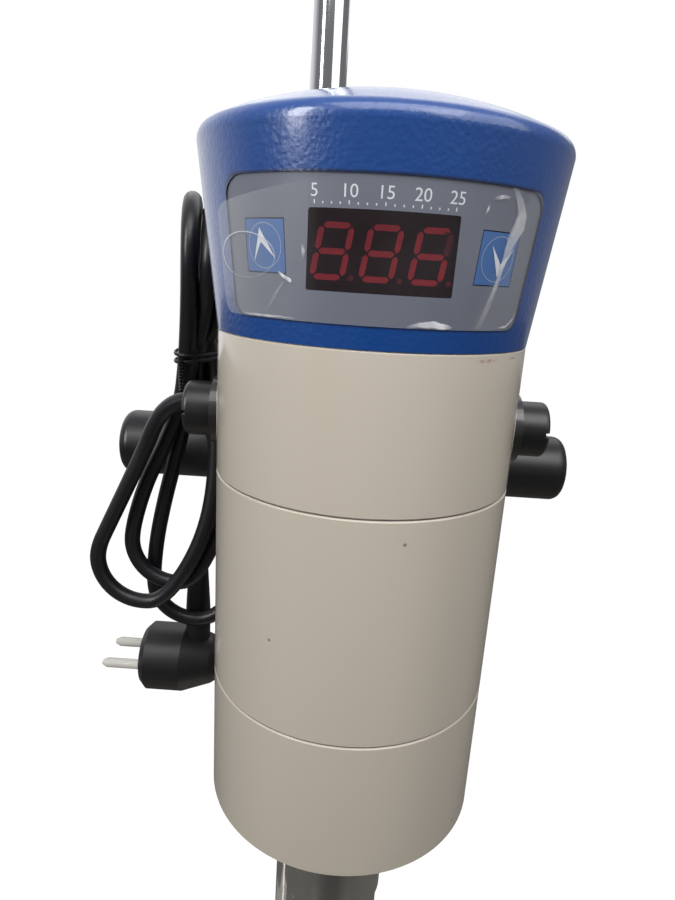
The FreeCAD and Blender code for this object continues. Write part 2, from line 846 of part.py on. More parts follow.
def control_cap():
    outer = Part.Face(cap_outline()).revolve(vector(0, 0, 0), vector(0, 0, 1), 360)
    shell = outer.cut(cap_cavity(cap_wall))
    shell = shell.cut(disc(lip_radius + running_gap, cap_seam, cap_seam + cap_lip_height + face_gap))
    shell = shell.cut(disc(inner_radius, cap_seam, cap_seam + cap_lip_height + cap_wall))
    shell = shell.cut(cone_skin(-1, panel_recess).common(whole_panel()))
    posts = []
    for side in (-1, 1):
        for z in (key_z - key_post_offset, key_z + key_post_offset):
            posts.append(key_post(side, switch_back, outside_reach, key_post_radius, z))
        for lift in (-1, 1):
            x = side * display_board_screw_x
            z = window_z + lift * display_board_screw_z
            posts.append(rod(display_post_radius, vector(x, display_board_y, z), vector(x, -outside_reach, z)))
    inside = cap_cavity(cap_wall - 0.5)
    shell = shell.fuse([post.common(inside) for post in posts])
    cuts = [window_prism(running_gap)]
    z = cap_seam + cap_lip_height / 2
    for side in (-1, 1):
        low, high = key_z - key_half - key_side_gap, key_z + key_half + key_side_gap
        cuts.append(facing(side, inner_radius, outside_reach, key_half + key_side_gap, low, high))
    for azimuth in cap_screw_azimuths:
        cuts.append(rod(cap_screw_radius + seat_gap, around(azimuth, inner_radius - 3, z),
                        around(azimuth, outside_reach, z)))
        seat = cone_radius(z) + seat_gap
        cuts.append(rod(cap_screw_head_radius + running_gap, around(azimuth, seat, z),
                        around(azimuth, outside_reach, z)))
    return shell.cut(cuts)


def panel_overlay():
    outer_inset = panel_recess - panel_thickness
    overlay = cone_skin(outer_inset, panel_recess).common(whole_panel())
    cuts = [window_prism(running_gap)]
    for side in (-1, 1):
        low, high = key_z - key_half - key_side_gap, key_z + key_half + key_side_gap
        cuts.append(facing(side, inner_radius, outside_reach, key_half + key_side_gap, low, high))
    return overlay.cut(cuts)


def display_window():
    outer_inset = panel_recess - panel_thickness
    return cone_skin(outer_inset, outer_inset + window_thickness).common(window_prism(0))


def key(side):
    outer_inset = panel_recess - panel_thickness
    low, high = key_z - key_half, key_z + key_half
    body = facing(side, key_back, outside_reach, key_half, low, high)
    body = body.common(cone(outer_inset))
    flange_half = key_half + key_flange_width
    flange = facing(side, key_flange_back, key_back, flange_half, low - key_flange_width, high + key_flange_width)
    return body.fuse(flange).removeSplitter()


def key_switches():
    pieces = []
    for side in (-1, 1):
        half = switch_size / 2
        body = facing(side, switch_back, switch_front, half, key_z - half, key_z + half)
        plunger = key_post(side, switch_front, plunger_tip, switch_plunger_radius, key_z)
        pieces.append(body.fuse(plunger))
        pieces.append(facing(side, key_board_back, switch_back, key_board_width / 2,
                             key_z - key_board_height / 2, key_z + key_board_height / 2))
    return Part.makeCompound(pieces)


def led_display():
    half_width, half_height = led_width / 2, led_height / 2
    return block(-half_width, half_width, led_face_y, led_face_y + led_depth,
                 window_z - half_height, window_z + half_height)


def slanted(x, z):
    return x + z * math.tan(math.radians(digit_slant))


def bar(points, centre_x):
    face_y = led_face_y
    corners = [vector(centre_x + slanted(x, z), face_y, window_z + z) for x, z in points]
    return Part.Face(Part.makePolygon(corners + corners[:1])).extrude(vector(0, -segment_relief, 0))


def level_bar(centre_x, z):
    half, tip = segment_width / 2, digit_width / 2 - segment_gap
    return bar([(-tip, z), (-tip + half, z - half), (tip - half, z - half), (tip, z), (tip - half, z + half),
                (-tip + half, z + half)], centre_x)


def upright_bar(centre_x, x, low, high):
    half = segment_width / 2
    low, high = low + segment_gap, high - segment_gap
    return bar([(x, low), (x + half, low + half), (x + half, high - half), (x, high), (x - half, high - half),
                (x - half, low + half)], centre_x)


def display_digits():
    pieces = []
    half_height = (digit_height - segment_width) / 2
    for i in (-1, 0, 1):
        centre_x = i * digit_pitch
        for z in (-half_height, 0, half_height):
            pieces.append(level_bar(centre_x, z))
        for x in (-digit_width / 2, digit_width / 2):
            pieces.append(upright_bar(centre_x, x, -half_height, 0))
            pieces.append(upright_bar(centre_x, x, 0, half_height))
        dot_x = centre_x + slanted(digit_width / 2, -half_height) + decimal_point_offset
        start = vector(dot_x, led_face_y, window_z - half_height)
        pieces.append(rod(decimal_point_radius, start, start + vector(0, -segment_relief, 0)))
    return Part.makeCompound(pieces)


def circuit_board():
    half_width, half_height = display_board_width / 2, display_board_height / 2
    board_back = display_board_y + board_thickness
    board = block(-half_width, half_width, display_board_y, board_back, window_z - half_height, window_z + half_height)
    for x in (-display_board_screw_x, display_board_screw_x):
        for z in (window_z - display_board_screw_z, window_z + display_board_screw_z):
            board = board.cut(rod(board_screw_radius, vector(x, display_board_y, z), vector(x, board_back, z)))
    socket_half_width = led_width / 2 - display_socket_inset
    socket_half_height = led_height * display_socket_share
    socket = block(-socket_half_width, socket_half_width, led_face_y + led_depth, display_board_y,
                   window_z - socket_half_height, window_z + socket_half_height)
    chip = block(-display_chip_width / 2, display_chip_width / 2, board_back, board_back + display_chip_depth,
                 window_z - display_chip_height / 2, window_z + display_chip_height / 2)
    return Part.makeCompound([board, socket, chip])


def power_board():
    low = bracket_top + power_board_lift
    high = low + board_thickness
    board = disc(power_board_radius, low, high)
    board = board.cut(block(-power_board_radius, power_board_radius, -power_board_radius, power_board_front_y,
                            low, high))
    capacitor = disc(capacitor_radius, high, high + capacitor_height, capacitor_x, capacitor_y)
    sink_back = heat_sink_y + heat_sink_depth
    sink_width = (heat_sink_fins - 1) * heat_sink_fin_pitch + heat_sink_fin_thickness
    heat_sink = block(heat_sink_x, heat_sink_x + sink_width, heat_sink_y, sink_back, high, high + heat_sink_foot)
    for i in range(heat_sink_fins):
        fin_x = heat_sink_x + i * heat_sink_fin_pitch
        heat_sink = heat_sink.fuse(block(fin_x, fin_x + heat_sink_fin_thickness, heat_sink_y, sink_back,
                                         high + heat_sink_foot, high + heat_sink_height))
    choke = ring(choke_outer_radius, choke_inner_radius, high, high + choke_height, choke_x, choke_y)
    pieces = [board, capacitor, heat_sink, choke]
    for azimuth in standoff_azimuths:
        point = around(azimuth, standoff_circle_radius)
        pieces.append(disc(standoff_radius, bracket_top, low, point.x, point.y))
    return Part.makeCompound(pieces)


# Brush gear

def brush_holder(side):
    start, end = vector(side * holder_inner_x, 0, brush_z), vector(side * holder_outer_x, 0, brush_z)
    holder = rod(holder_radius, start, end)
    half_depth, half_width = brush_depth / 2 + running_gap, brush_width / 2 + running_gap
    channel = block(-outside_reach, outside_reach, -half_depth, half_depth,
                    brush_z - half_width, brush_z + half_width)
    socket = rod(holder_socket_radius, vector(side * (holder_outer_x - holder_socket_depth), 0, brush_z), end)
    return holder.cut([channel, socket])


def carbon_brushes():
    near = commutator_radius + brush_gap
    brushes = []
    for side in (-1, 1):
        x_low, x_high = sorted((side * (near - 1), side * (near + brush_length)))
        body = block(x_low, x_high, -brush_depth / 2, brush_depth / 2,
                     brush_z - brush_width / 2, brush_z + brush_width / 2)
        brushes.append(body.cut(disc(near, brush_z - brush_width, brush_z + brush_width)))
    return Part.makeCompound(brushes)


def brush_springs():
    near = commutator_radius + brush_gap + brush_length
    far = holder_outer_x - holder_socket_depth + face_gap
    length = far - near - 2 * spring_wire_radius
    steps = spring_turns * spring_steps_per_turn
    springs = []
    for side in (-1, 1):
        points = [around(360 * i / spring_steps_per_turn, spring_radius, length * i / steps) for i in range(steps + 1)]
        path = Part.makePolygon(points)
        wire = [points[0] + vector(dx, 0, dz) * spring_wire_radius
                for dx, dz in ((-1, -1), (1, -1), (1, 1), (-1, 1), (-1, -1))]
        coil = path.makePipeShell([Part.makePolygon(wire)], True, False, 1)
        coil.Placement = FreeCAD.Placement(vector(side * (near + spring_wire_radius), 0, brush_z),
                                           FreeCAD.Rotation(vector(0, 0, 1), vector(side, 0, 0)))
        springs.append(coil)
    return Part.makeCompound(springs)


def brush_cap(side):
    foot = brush_boss_x - (holder_outer_x - holder_socket_depth) - face_gap
    profile = [(0, -foot), (holder_socket_radius - running_gap, -foot), (holder_socket_radius - running_gap, 0),
               (brush_cap_radius, 0)]
    for step in range(5):
        angle = math.radians(22.5 * step)
        profile.append((brush_cap_radius - brush_cap_edge * (1 - math.cos(angle)),
                        brush_cap_length - brush_cap_edge * (1 - math.sin(angle))))
    profile.append((0, brush_cap_length))
    cap = turned_along(profile, vector(side * brush_boss_x, 0, brush_z), vector(side, 0, 0))
    end = side * (brush_boss_x + brush_cap_length)
    x_low, x_high = sorted((end - side * brush_cap_slot_depth, end + side))
    half = brush_cap_slot_width / 2
    return cap.cut(block(x_low, x_high, -brush_cap_radius, brush_cap_radius, brush_z - half, brush_z + half))


# Motor

def field_stator():
    yoke = ring(stator_radius, stator_radius - yoke_thickness, stack_low, stack_high)
    shoe_radius = pole_bore_radius + pole_shoe_thickness
    shoe = ring(shoe_radius, pole_bore_radius, stack_low, stack_high)
    side_cut = block(pole_bore_radius * math.sin(math.radians(pole_shoe_half_angle)), shoe_radius,
                     -shoe_radius, shoe_radius, stack_low, stack_high)
    shoe = shoe.cut([side_cut, spun(side_cut, 180)])
    half = pole_neck_width / 2
    mid_yoke = stator_radius - yoke_thickness / 2
    neck = block(-half, half, -mid_yoke, mid_yoke, stack_low, stack_high)
    neck = neck.cut(disc(pole_bore_radius, stack_low, stack_high))
    stator = yoke.fuse([shoe, neck]).removeSplitter()
    notches = []
    for azimuth in bolt_azimuths:
        point = around(azimuth, bolt_circle_radius)
        notches.append(disc(bolt_radius + face_gap, stack_low, stack_high, point.x, point.y))
    return stator.cut(notches)


def field_coils():
    low, high = stack_low - coil_overhang, stack_high + coil_overhang
    inner = pole_bore_radius + pole_shoe_thickness + coil_gap
    outer = stator_radius - yoke_thickness - coil_gap
    band = ring(outer, inner, low, high)
    half = pole_neck_width / 2 + coil_gap
    coils = []
    for side in (-1, 1):
        y_low, y_high = sorted((0, side * outer))
        window = block(-coil_half_width, coil_half_width, y_low, y_high, low, high)
        neck_low, neck_high = stack_low - coil_gap, stack_high + coil_gap
        neck = block(-half, half, y_low, y_high, neck_low, neck_high)
        coils.append(band.common(window).cut(neck))
    return Part.makeCompound(coils)


def armature_core():
    core = ring(armature_radius, shaft_radius + seat_gap, stack_low, stack_high)
    slot_outer = armature_radius - slot_lip
    slot = block(slot_floor_radius, slot_outer, -slot_width / 2, slot_width / 2, stack_low, stack_high)
    mouth = block(slot_outer, armature_radius + 1, -slot_mouth_width / 2, slot_mouth_width / 2, stack_low, stack_high)
    opening = slot.fuse(mouth)
    return core.cut([spun(opening, 360 * i / slot_count) for i in range(slot_count)])


def armature_windings():
    inner = shaft_radius + 1
    outer = armature_radius - slot_lip
    chest, neck = outer - end_turn_slope, outer - end_turn_neck
    low, high = stack_low - end_turn_height, stack_high + end_turn_height
    riser_low = brush_z - commutator_length / 2 - riser_thickness
    lower_turns = turned([(inner, stack_low), (outer, stack_low), (outer, stack_low - end_turn_shoulder),
                          (chest, low), (inner, low)])
    upper_turns = turned([(inner, stack_high), (outer, stack_high), (outer, stack_high + end_turn_shoulder),
                          (neck, riser_low), (inner, riser_low)])
    gap = seat_gap
    bars = block(slot_floor_radius + gap, outer - gap, -slot_width / 2 + gap, slot_width / 2 - gap,
                 stack_low - 1, stack_high + 1)
    return lower_turns.fuse([upper_turns] + [spun(bars, 360 * i / slot_count) for i in range(slot_count)])


def commutator():
    low, high = brush_z - commutator_length / 2, brush_z + commutator_length / 2
    riser_low = low - riser_thickness
    bore = shaft_radius + seat_gap
    body = turned([(bore, riser_low), (riser_radius, riser_low), (riser_radius, low), (commutator_radius, low),
                   (commutator_radius, high), (bore, high)])
    half = commutator_slot_width / 2
    slot = block(commutator_radius - commutator_slot_depth, riser_radius + 1, -half, half, low, high)
    return body.cut([spun(slot, 360 * i / commutator_bars) for i in range(commutator_bars)])


def motor_shaft():
    bottom = coupling_middle + coupling_web / 2
    top = upper_bearing_low + upper_bearing_width + 1
    return turned([
        (0, bottom), (shaft_foot_radius, bottom), (shaft_foot_radius, shaft_shoulder_low + face_gap),
        (shaft_radius, shaft_shoulder_low + face_gap), (shaft_radius, shaft_shoulder_high),
        (shaft_top_radius, shaft_shoulder_high), (shaft_top_radius, top), (0, top),
    ])


def ball_bearing(bore, radius, width, low):
    high = low + width
    inner, outer = bore + bearing_ring_width, radius - bearing_ring_width
    depth = bearing_shield_depth
    return turned([
        (bore, low), (inner, low), (inner, low + depth), (outer, low + depth), (outer, low), (radius, low),
        (radius, high), (outer, high), (outer, high - depth), (inner, high - depth), (inner, high), (bore, high),
    ])


def bearing_bracket():
    hub_high = bracket_low + bracket_hub_height
    plate = disc(inner_radius - stator_clearance, bracket_low, bracket_top)
    window = ring(bracket_window_outer, bracket_window_inner, bracket_low, bracket_top)
    wedge_reach = 2 * bracket_window_outer
    half_angle = bracket_window_angle / 2
    wedge_points = [vector(0, 0, bracket_low), around(-half_angle, wedge_reach, bracket_low),
                    around(half_angle, wedge_reach, bracket_low), vector(0, 0, bracket_low)]
    wedge = Part.Face(Part.makePolygon(wedge_points)).extrude(vector(0, 0, bracket_thickness))
    opening = window.common(wedge)
    plate = plate.cut([spun(opening, azimuth) for azimuth in (37.5, 112.5, 217.5, 292.5)])
    hub = disc(bracket_hub_radius, bracket_low, hub_high)
    bracket = plate.fuse(hub).removeSplitter()
    cuts = [disc(upper_bearing_radius + seat_gap, upper_bearing_low, hub_high),
            disc(upper_bearing_radius - bearing_ring_width, bracket_low, hub_high)]
    return bracket.cut(cuts + bolt_holes(bracket_low, bracket_top))


def cooling_fan():
    low = head_bottom + fan_lift
    plate = disc(fan_radius, low, low + fan_plate_thickness)
    hub = disc(fan_hub_radius, low, low + fan_height)
    half = fan_blade_thickness / 2
    blade = block(0, fan_radius - fan_hub_radius, -half, half, low + fan_plate_thickness / 2, low + fan_height)
    blade.rotate(vector(0, 0, 0), vector(0, 0, 1), fan_blade_lean)
    blade.translate(vector(fan_hub_radius - 1, 0, 0))
    blades = [spun(blade, 360 * i / fan_blade_count) for i in range(fan_blade_count)]
    fan = plate.fuse([hub] + blades).common(disc(fan_radius, low, low + fan_height))
    return fan.cut(disc(shaft_radius + seat_gap, low, low + fan_height))


# Nose and union nut

def nose_sleeve():
    bore = tool_shaft_radius + knife_hub_radius
    return turned([
        (bore, thread_bottom), (nose_thread_radius, thread_bottom), (nose_thread_radius, nose_bottom),
        (nose_radius - nose_edge, nose_bottom), (nose_radius, nose_bottom + nose_edge),
        (nose_radius, head_bottom), (nose_spigot_radius, head_bottom), (nose_spigot_radius, spigot_top),
        (nose_chamber_radius, spigot_top), (nose_chamber_radius, thread_bottom + nose_floor),
        (bore, thread_bottom + nose_floor),
    ])


def shaft_seal():
    low = head_bottom - seal_low
    return ring(nose_chamber_radius - seat_gap, shaft_foot_radius + running_gap, low, low + seal_height)


def drive_coupling():
    body = disc(coupling_radius, coupling_bottom, coupling_top)
    half_web = coupling_web / 2
    lower = disc(tool_shaft_radius + seat_gap, coupling_bottom, coupling_middle - half_web)
    upper = disc(shaft_foot_radius + seat_gap, coupling_middle + half_web, coupling_top)
    return body.cut([lower, upper])


def coupling_nut():
    low = tool_flange_low - running_gap - nut_lip_thickness
    lip_top = tool_flange_low - running_gap
    high = nose_bottom - nut_rim_gap
    thread = nose_thread_radius + running_gap
    lip = tool_tube_radius + 2 * face_gap
    nut = turned([(lip, low), (nut_radius - 1, low), (nut_radius, low + 1), (nut_radius, high - 1),
                  (nut_radius - 1, high), (thread, high), (thread, lip_top), (lip, lip_top)])
    flute = disc(knurl_radius, low, high, nut_radius + knurl_radius / 2, 0)
    return nut.cut([spun(flute, 360 * i / knurl_count) for i in range(knurl_count)])


# Tool

def tool_tube():
    tube = turned([
        (tube_bore, tube_bottom), (tool_tube_radius, tube_bottom), (tool_tube_radius, tool_flange_low),
        (tool_flange_radius, tool_flange_low), (tool_flange_radius, thread_bottom), (tube_bore, thread_bottom),
    ])
    z = tool_tip + tool_hole_lift
    reach = tool_tube_radius + 1
    holes = [rod(tool_hole_radius, vector(-reach, 0, z), vector(reach, 0, z)),
             rod(tool_hole_radius, vector(0, -reach, z), vector(0, reach, z))]
    return tube.cut(holes)


def stator_head():
    collar_top = tube_bottom + collar_height
    bore = tool_tube_radius + seat_gap
    shoulder = tube_bore - 0.5
    head = turned([
        (crown_bore, tool_tip), (crown_radius, tool_tip), (crown_radius, collar_top - 2), (bore + 1, collar_top),
        (bore, collar_top), (bore, tube_bottom), (shoulder, tube_bottom), (shoulder, crown_top),
        (crown_bore, crown_top),
    ])
    low = tool_tip + crown_slot_lift
    half = crown_slot_width / 2
    slot = block(-crown_radius - 1, crown_radius + 1, -half, half, low, low + crown_slot_height)
    return head.cut([spun(slot, 180 * i / crown_slot_pairs) for i in range(crown_slot_pairs)])


def tool_shaft():
    bottom = tool_tip + knife_lift + knife_floor
    top = coupling_middle - coupling_web / 2
    return disc(tool_shaft_radius, bottom, top)


def rotor_knife():
    low, high = tool_tip + knife_lift, tool_tip + knife_lift + knife_height
    hub = disc(knife_hub_radius, low, high)
    reach = crown_bore - knife_gap
    half = knife_blade_thickness / 2
    blade = block(-reach, reach, -half, half, low, high)
    knife = hub.fuse([blade, spun(blade, 90)]).common(disc(reach, low, high))
    return knife.cut(disc(tool_shaft_radius + seat_gap, low + knife_floor, high))


def tool_bushes():
    outer, inner = tube_bore - seat_gap, tool_shaft_radius + running_gap
    lower = ring(outer, inner, tube_bottom, tube_bottom + tool_bush_length)
    upper = ring(outer, inner, thread_bottom - tool_bush_length, thread_bottom)
    return Part.makeCompound([lower, upper])


# Mains cord

def gland_direction():
    return around(gland_azimuth, 1.0)


def cord_gland():
    z = head_bottom + gland_height
    inner = inner_radius - gland_collar_thickness
    flange_end = housing_radius + gland_flange_thickness
    tip = flange_end + gland_sleeve_length
    gland = turned_along([
        (cord_radius, inner - 1), (gland_collar_radius, inner - 1), (gland_collar_radius, inner_radius - 0.6),
        (gland_neck_radius, inner_radius - 0.6), (gland_neck_radius, housing_radius - 1),
        (gland_flange_radius, housing_radius - 1), (gland_flange_radius, flange_end),
        (gland_sleeve_radius, flange_end), (gland_tip_radius, tip), (cord_radius, tip),
    ], vector(0, 0, z), gland_direction())
    wall = ring(housing_radius + seat_gap, inner_radius - seat_gap, z - 2 * gland_flange_radius,
                z + 2 * gland_flange_radius)
    hole = rod(gland_neck_radius, vector(0, 0, z), gland_direction() * (2 * housing_radius) + vector(0, 0, z))
    return gland.cut(wall.cut(hole))


def hank_solid():
    curve = Part.BSplineCurve()
    curve.interpolate([vector(x, 0, head_bottom + z) for x, z in hank_front_outline], True)
    front = Part.Face(Part.Wire(curve.toShape())).extrude(vector(0, hank_side_reach, 0))
    corners = [vector(-hank_side_reach, y, head_bottom + z) for y, z in hank_side_outline]
    side = Part.Face(Part.makePolygon(corners + corners[:1])).extrude(vector(hank_side_reach, 0, 0))
    return front.common(side)


def bent_tube(points, radius):
    runs = []
    start = points[0]
    for i in range(1, len(points) - 1):
        before, here, after = points[i - 1], points[i], points[i + 1]
        into, out = (here - before), (after - here)
        shorter = min(into.Length, out.Length)
        into.normalize()
        out.normalize()
        turn = math.acos(max(-1.0, min(1.0, into.dot(out))))
        tangent = 0.45 * shorter
        bend = tangent / math.tan(turn / 2)
        print("cord bend radius", round(bend, 1))
        begin, end = here - into * tangent, here + out * tangent
        chord_middle = (begin + end) * 0.5
        inward = (chord_middle - here).normalize()
        centre_distance = math.hypot(tangent, bend)
        middle = here + inward * (centre_distance - bend)
        runs.append(Part.LineSegment(start, begin).toShape())
        runs.append(Part.Arc(begin, middle, end).toShape())
        start = end
    runs.append(Part.LineSegment(start, points[-1]).toShape())
    path = Part.Wire(runs)
    first = points[1] - points[0]
    profile = Part.Wire(Part.makeCircle(radius, points[0], first))
    tube = path.makePipeShell([profile], True, False)
    return tube


def in_head(points):
    return [vector(x, y, head_bottom + z) for x, y, z in points]


def gland_tip():
    reach = housing_radius + gland_flange_thickness + gland_sleeve_length
    return around(gland_azimuth, reach, head_bottom + gland_height)


def cord_tube():
    hank = hank_solid()
    relief_top = vector(plug_cord_x, plug_axis_y, head_bottom + plug_centre_height + plug_radius
                        + plug_relief_length)
    ends = []
    for start, points in ((gland_tip(), lead_points), (relief_top, tail_points)):
        tube = bent_tube([start] + in_head(points), cord_radius).cut(hank)
        ends.append(min(tube.Solids, key=lambda solid: solid.CenterOfMass.sub(start).Length))
    return Part.makeCompound(ends)


def cord_tie():
    low = head_bottom + tie_low
    band = block(tie_left, tie_right, tie_front, tie_back + tie_thickness, low, low + tie_height)
    return band.cut(hank_solid())


def plug_body():
    z = head_bottom + plug_centre_height
    length = plug_back_x - plug_face_x
    body = turned_along([
        (0, 0), (plug_radius - plug_edge, 0), (plug_radius, plug_edge), (plug_radius, length * 0.55),
        (plug_radius * 0.72, length - plug_edge), (plug_radius * 0.6, length), (0, length),
    ], vector(plug_face_x, plug_axis_y, z), vector(1, 0, 0))
    relief = turned([
        (0, z), (plug_relief_radius, z), (plug_relief_radius, z + plug_radius + plug_relief_length / 3),
        (plug_relief_top_radius, z + plug_radius + plug_relief_length), (0, z + plug_radius + plug_relief_length),
    ], plug_cord_x, plug_axis_y)
    return body.fuse(relief).removeSplitter()


def plug_pins():
    z = head_bottom + plug_centre_height
    pins = []
    for side in (-1, 1):
        y = plug_axis_y + side * pin_spacing / 2
        pins.append(turned_along([(0, 0), (pin_radius, 0), (pin_radius, pin_length - pin_radius),
                                  (pin_radius / 2, pin_length), (0, pin_length)],
                                 vector(plug_face_x, y, z), vector(-1, 0, 0)))
    return Part.makeCompound(pins)


nodes = {
    "base_plate": base_plate(),
    "rubber_feet": rubber_feet(),
    "foot_screws": foot_screws(),
    "column": column(),
    "column_nut": column_nut(),
    "column_liner": column_liner(),
    "clamp_body": clamp_body(),
    "column_clamp_screw": clamp_screw(left_screw_tip, left_knob_foot, -1),
    "column_clamp_knob": clamp_knob(left_knob_foot, -1),
    "arm_clamp_screw": clamp_screw(right_screw_tip, right_knob_foot, 1),
    "arm_clamp_knob": clamp_knob(right_knob_foot, 1),
    "arm_liner": arm_liner(),
    "support_arm": support_arm(),
    "head_screws": head_screws(),
    "lower_housing": lower_housing(),
    "middle_housing": middle_housing(),
    "upper_housing": upper_housing(),
    "housing_bolts": housing_bolts(),
    "control_cap": control_cap(),
    "panel_overlay": panel_overlay(),
    "display_window": display_window(),
    "led_display": led_display(),
    "display_digits": display_digits(),
    "circuit_board": circuit_board(),
    "power_board": power_board(),
    "key_up": key(-1),
    "key_down": key(1),
    "key_switches": key_switches(),
    "brush_cap_left": brush_cap(-1),
    "brush_cap_right": brush_cap(1),
    "brush_holder_left": brush_holder(-1),
    "brush_holder_right": brush_holder(1),
    "carbon_brushes": carbon_brushes(),
    "brush_springs": brush_springs(),
    "field_stator": field_stator(),
    "field_coils": field_coils(),
    "armature_core": armature_core(),
    "armature_windings": armature_windings(),
    "commutator": commutator(),
    "motor_shaft": motor_shaft(),
    "upper_bearing": ball_bearing(shaft_top_radius + seat_gap, upper_bearing_radius, upper_bearing_width,
                                  upper_bearing_low),
    "lower_bearing": ball_bearing(shaft_foot_radius + seat_gap, lower_bearing_radius, lower_bearing_width,
                                  lower_bearing_low),
    "bearing_bracket": bearing_bracket(),
    "cooling_fan": cooling_fan(),
    "nose_sleeve": nose_sleeve(),
    "shaft_seal": shaft_seal(),
    "drive_coupling": drive_coupling(),
    "coupling_nut": coupling_nut(),
    "tool_tube": tool_tube(),
    "stator_head": stator_head(),
    "tool_shaft": tool_shaft(),
    "rotor_knife": rotor_knife(),
    "tool_bushes": tool_bushes(),
    "cord_gland": cord_gland(),
    "cord_tube": cord_tube(),
    "cord_hank": hank_solid(),
    "cord_tie": cord_tie(),
    "plug_body": plug_body(),
    "plug_pins": plug_pins(),
}

os.makedirs("parts", exist_ok=True)
for name, shape in nodes.items():
    shape.exportStep("parts/" + name + ".step")
    print(name, len(shape.Solids), "solids", round(shape.Volume), "mm3", "valid" if shape.isValid() else "INVALID")
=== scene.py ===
import bpy, math
from mathutils import Matrix, Vector


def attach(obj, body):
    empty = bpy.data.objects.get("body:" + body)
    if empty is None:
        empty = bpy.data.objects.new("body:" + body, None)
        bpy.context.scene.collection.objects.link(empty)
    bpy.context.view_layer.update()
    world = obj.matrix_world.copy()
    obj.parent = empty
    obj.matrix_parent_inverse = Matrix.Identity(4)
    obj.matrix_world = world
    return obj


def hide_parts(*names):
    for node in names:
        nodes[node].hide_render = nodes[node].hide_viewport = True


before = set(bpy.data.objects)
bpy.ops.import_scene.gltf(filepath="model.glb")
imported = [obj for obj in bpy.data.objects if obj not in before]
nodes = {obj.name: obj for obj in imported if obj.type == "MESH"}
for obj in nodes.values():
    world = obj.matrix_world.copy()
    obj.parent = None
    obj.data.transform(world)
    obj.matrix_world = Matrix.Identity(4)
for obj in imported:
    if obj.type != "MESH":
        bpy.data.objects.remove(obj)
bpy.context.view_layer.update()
bpy.ops.object.select_all(action='DESELECT')
scene = bpy.context.scene
collection = scene.collection
mm = 0.001


# Camera, as the photograph was taken
cameraSizes = {"place": (-5.65, -215.89, 502.06), "yaw": -0.0138, "pitch": 0.2693, "roll": 0.0613, "lens": 25.6}

def makeCamera(sizes):
    data = bpy.data.cameras.new("camera")
    data.lens, data.sensor_width, data.clip_start = sizes["lens"], 36, 0.01
    camera = bpy.data.objects.new("camera", data)
    collection.objects.link(camera)
    yaw, pitch, roll = sizes["yaw"], sizes["pitch"], sizes["roll"]
    ahead = Vector((math.sin(yaw) * math.cos(pitch), math.cos(yaw) * math.cos(pitch), -math.sin(pitch)))
    level = Vector((math.cos(yaw), -math.sin(yaw), 0))
    upward = level.cross(ahead)
    right = math.cos(roll) * level + math.sin(roll) * upward
    top = math.cos(roll) * upward - math.sin(roll) * level
    turn = Matrix((right, top, -ahead)).transposed().to_4x4()
    camera.matrix_world = Matrix.Translation(Vector(sizes["place"]) * mm) @ turn
    scene.camera = camera

makeCamera(cameraSizes)
print("camera ready")


# Shader maths as plain expressions
class Sock:
    def __init__(self, tree, socket):
        self.tree, self.socket = tree, socket

    def node(self, kind, inputs=None, out=0, **settings):
        made = self.tree.nodes.new(kind)
        for name, value in settings.items():
            if name == "stops":
                ramp = made.color_ramp
                while len(ramp.elements) > 1:
                    ramp.elements.remove(ramp.elements[0])
                for i, (place, colour) in enumerate(value):
                    element = ramp.elements[0] if i == 0 else ramp.elements.new(place)
                    element.position, element.color = place, colour
            else:
                setattr(made, name, value)
        for key, value in (inputs or {}).items():
            if isinstance(value, Sock):
                self.tree.links.new(value.socket, made.inputs[key])
            else:
                made.inputs[key].default_value = value
        return Sock(self.tree, made.outputs[out])

    def maths(self, operation, first, second=0.0, third=0.0):
        return self.node("ShaderNodeMath", {0: first, 1: second, 2: third}, operation=operation)

    def __add__(self, other): return self.maths('ADD', self, other)
    def __radd__(self, other): return self.maths('ADD', other, self)
    def __sub__(self, other): return self.maths('SUBTRACT', self, other)
    def __rsub__(self, other): return self.maths('SUBTRACT', other, self)
    def __mul__(self, other): return self.maths('MULTIPLY', self, other)
    def __rmul__(self, other): return self.maths('MULTIPLY', other, self)
    def __truediv__(self, other): return self.maths('DIVIDE', self, other)
    def __pow__(self, other): return self.maths('POWER', self, other)
    def __abs__(self): return self.maths('ABSOLUTE', self)

    def above(self, edge, soft):  # 0 below the edge, 1 above it
        return self.node("ShaderNodeMapRange",
                         {"Value": self, "From Min": edge - soft, "From Max": edge + soft}, clamp=True)

    def most(self, other):
        return self.maths('MAXIMUM', self, other)

    def mixed(self, first, second):  # colours, by this mask
        ends = [value if isinstance(value, Sock) else (*value, 1.0) for value in (first, second)]
        return self.node("ShaderNodeMix", {0: self, 6: ends[0], 7: ends[1]}, 2, data_type='RGBA')

    def parts(self):  # x, y, z of a vector
        split = self.tree.nodes.new("ShaderNodeSeparateXYZ")
        self.tree.links.new(self.socket, split.inputs[0])
        return [Sock(self.tree, output) for output in split.outputs]


def newMaterial(name, **constants):  # the material, its Object coordinates and its shader
    material = bpy.data.materials.new(name)
    material.use_nodes = True
    tree = material.node_tree
    shader = tree.nodes["Principled BSDF"]
    for socket, value in constants.items():
        shader.inputs[socket.replace("_", " ")].default_value = value
    place = tree.nodes.new("ShaderNodeTexCoord")
    return material, Sock(tree, place.outputs["Object"]), shader


def feed(shader, socket, value):
    if isinstance(value, Sock):
        value.tree.links.new(value.socket, shader.inputs[socket])
    else:
        shader.inputs[socket].default_value = value


def noise(where, scale, detail=2.0, roughness=0.5):
    return where.node("ShaderNodeTexNoise", {"Vector": where, "Scale": scale, "Detail": detail,
                                             "Roughness": roughness})


def stretched(where, scale):  # the coordinates, drawn out along an axis
    return where.node("ShaderNodeMapping", {"Vector": where, "Scale": scale})


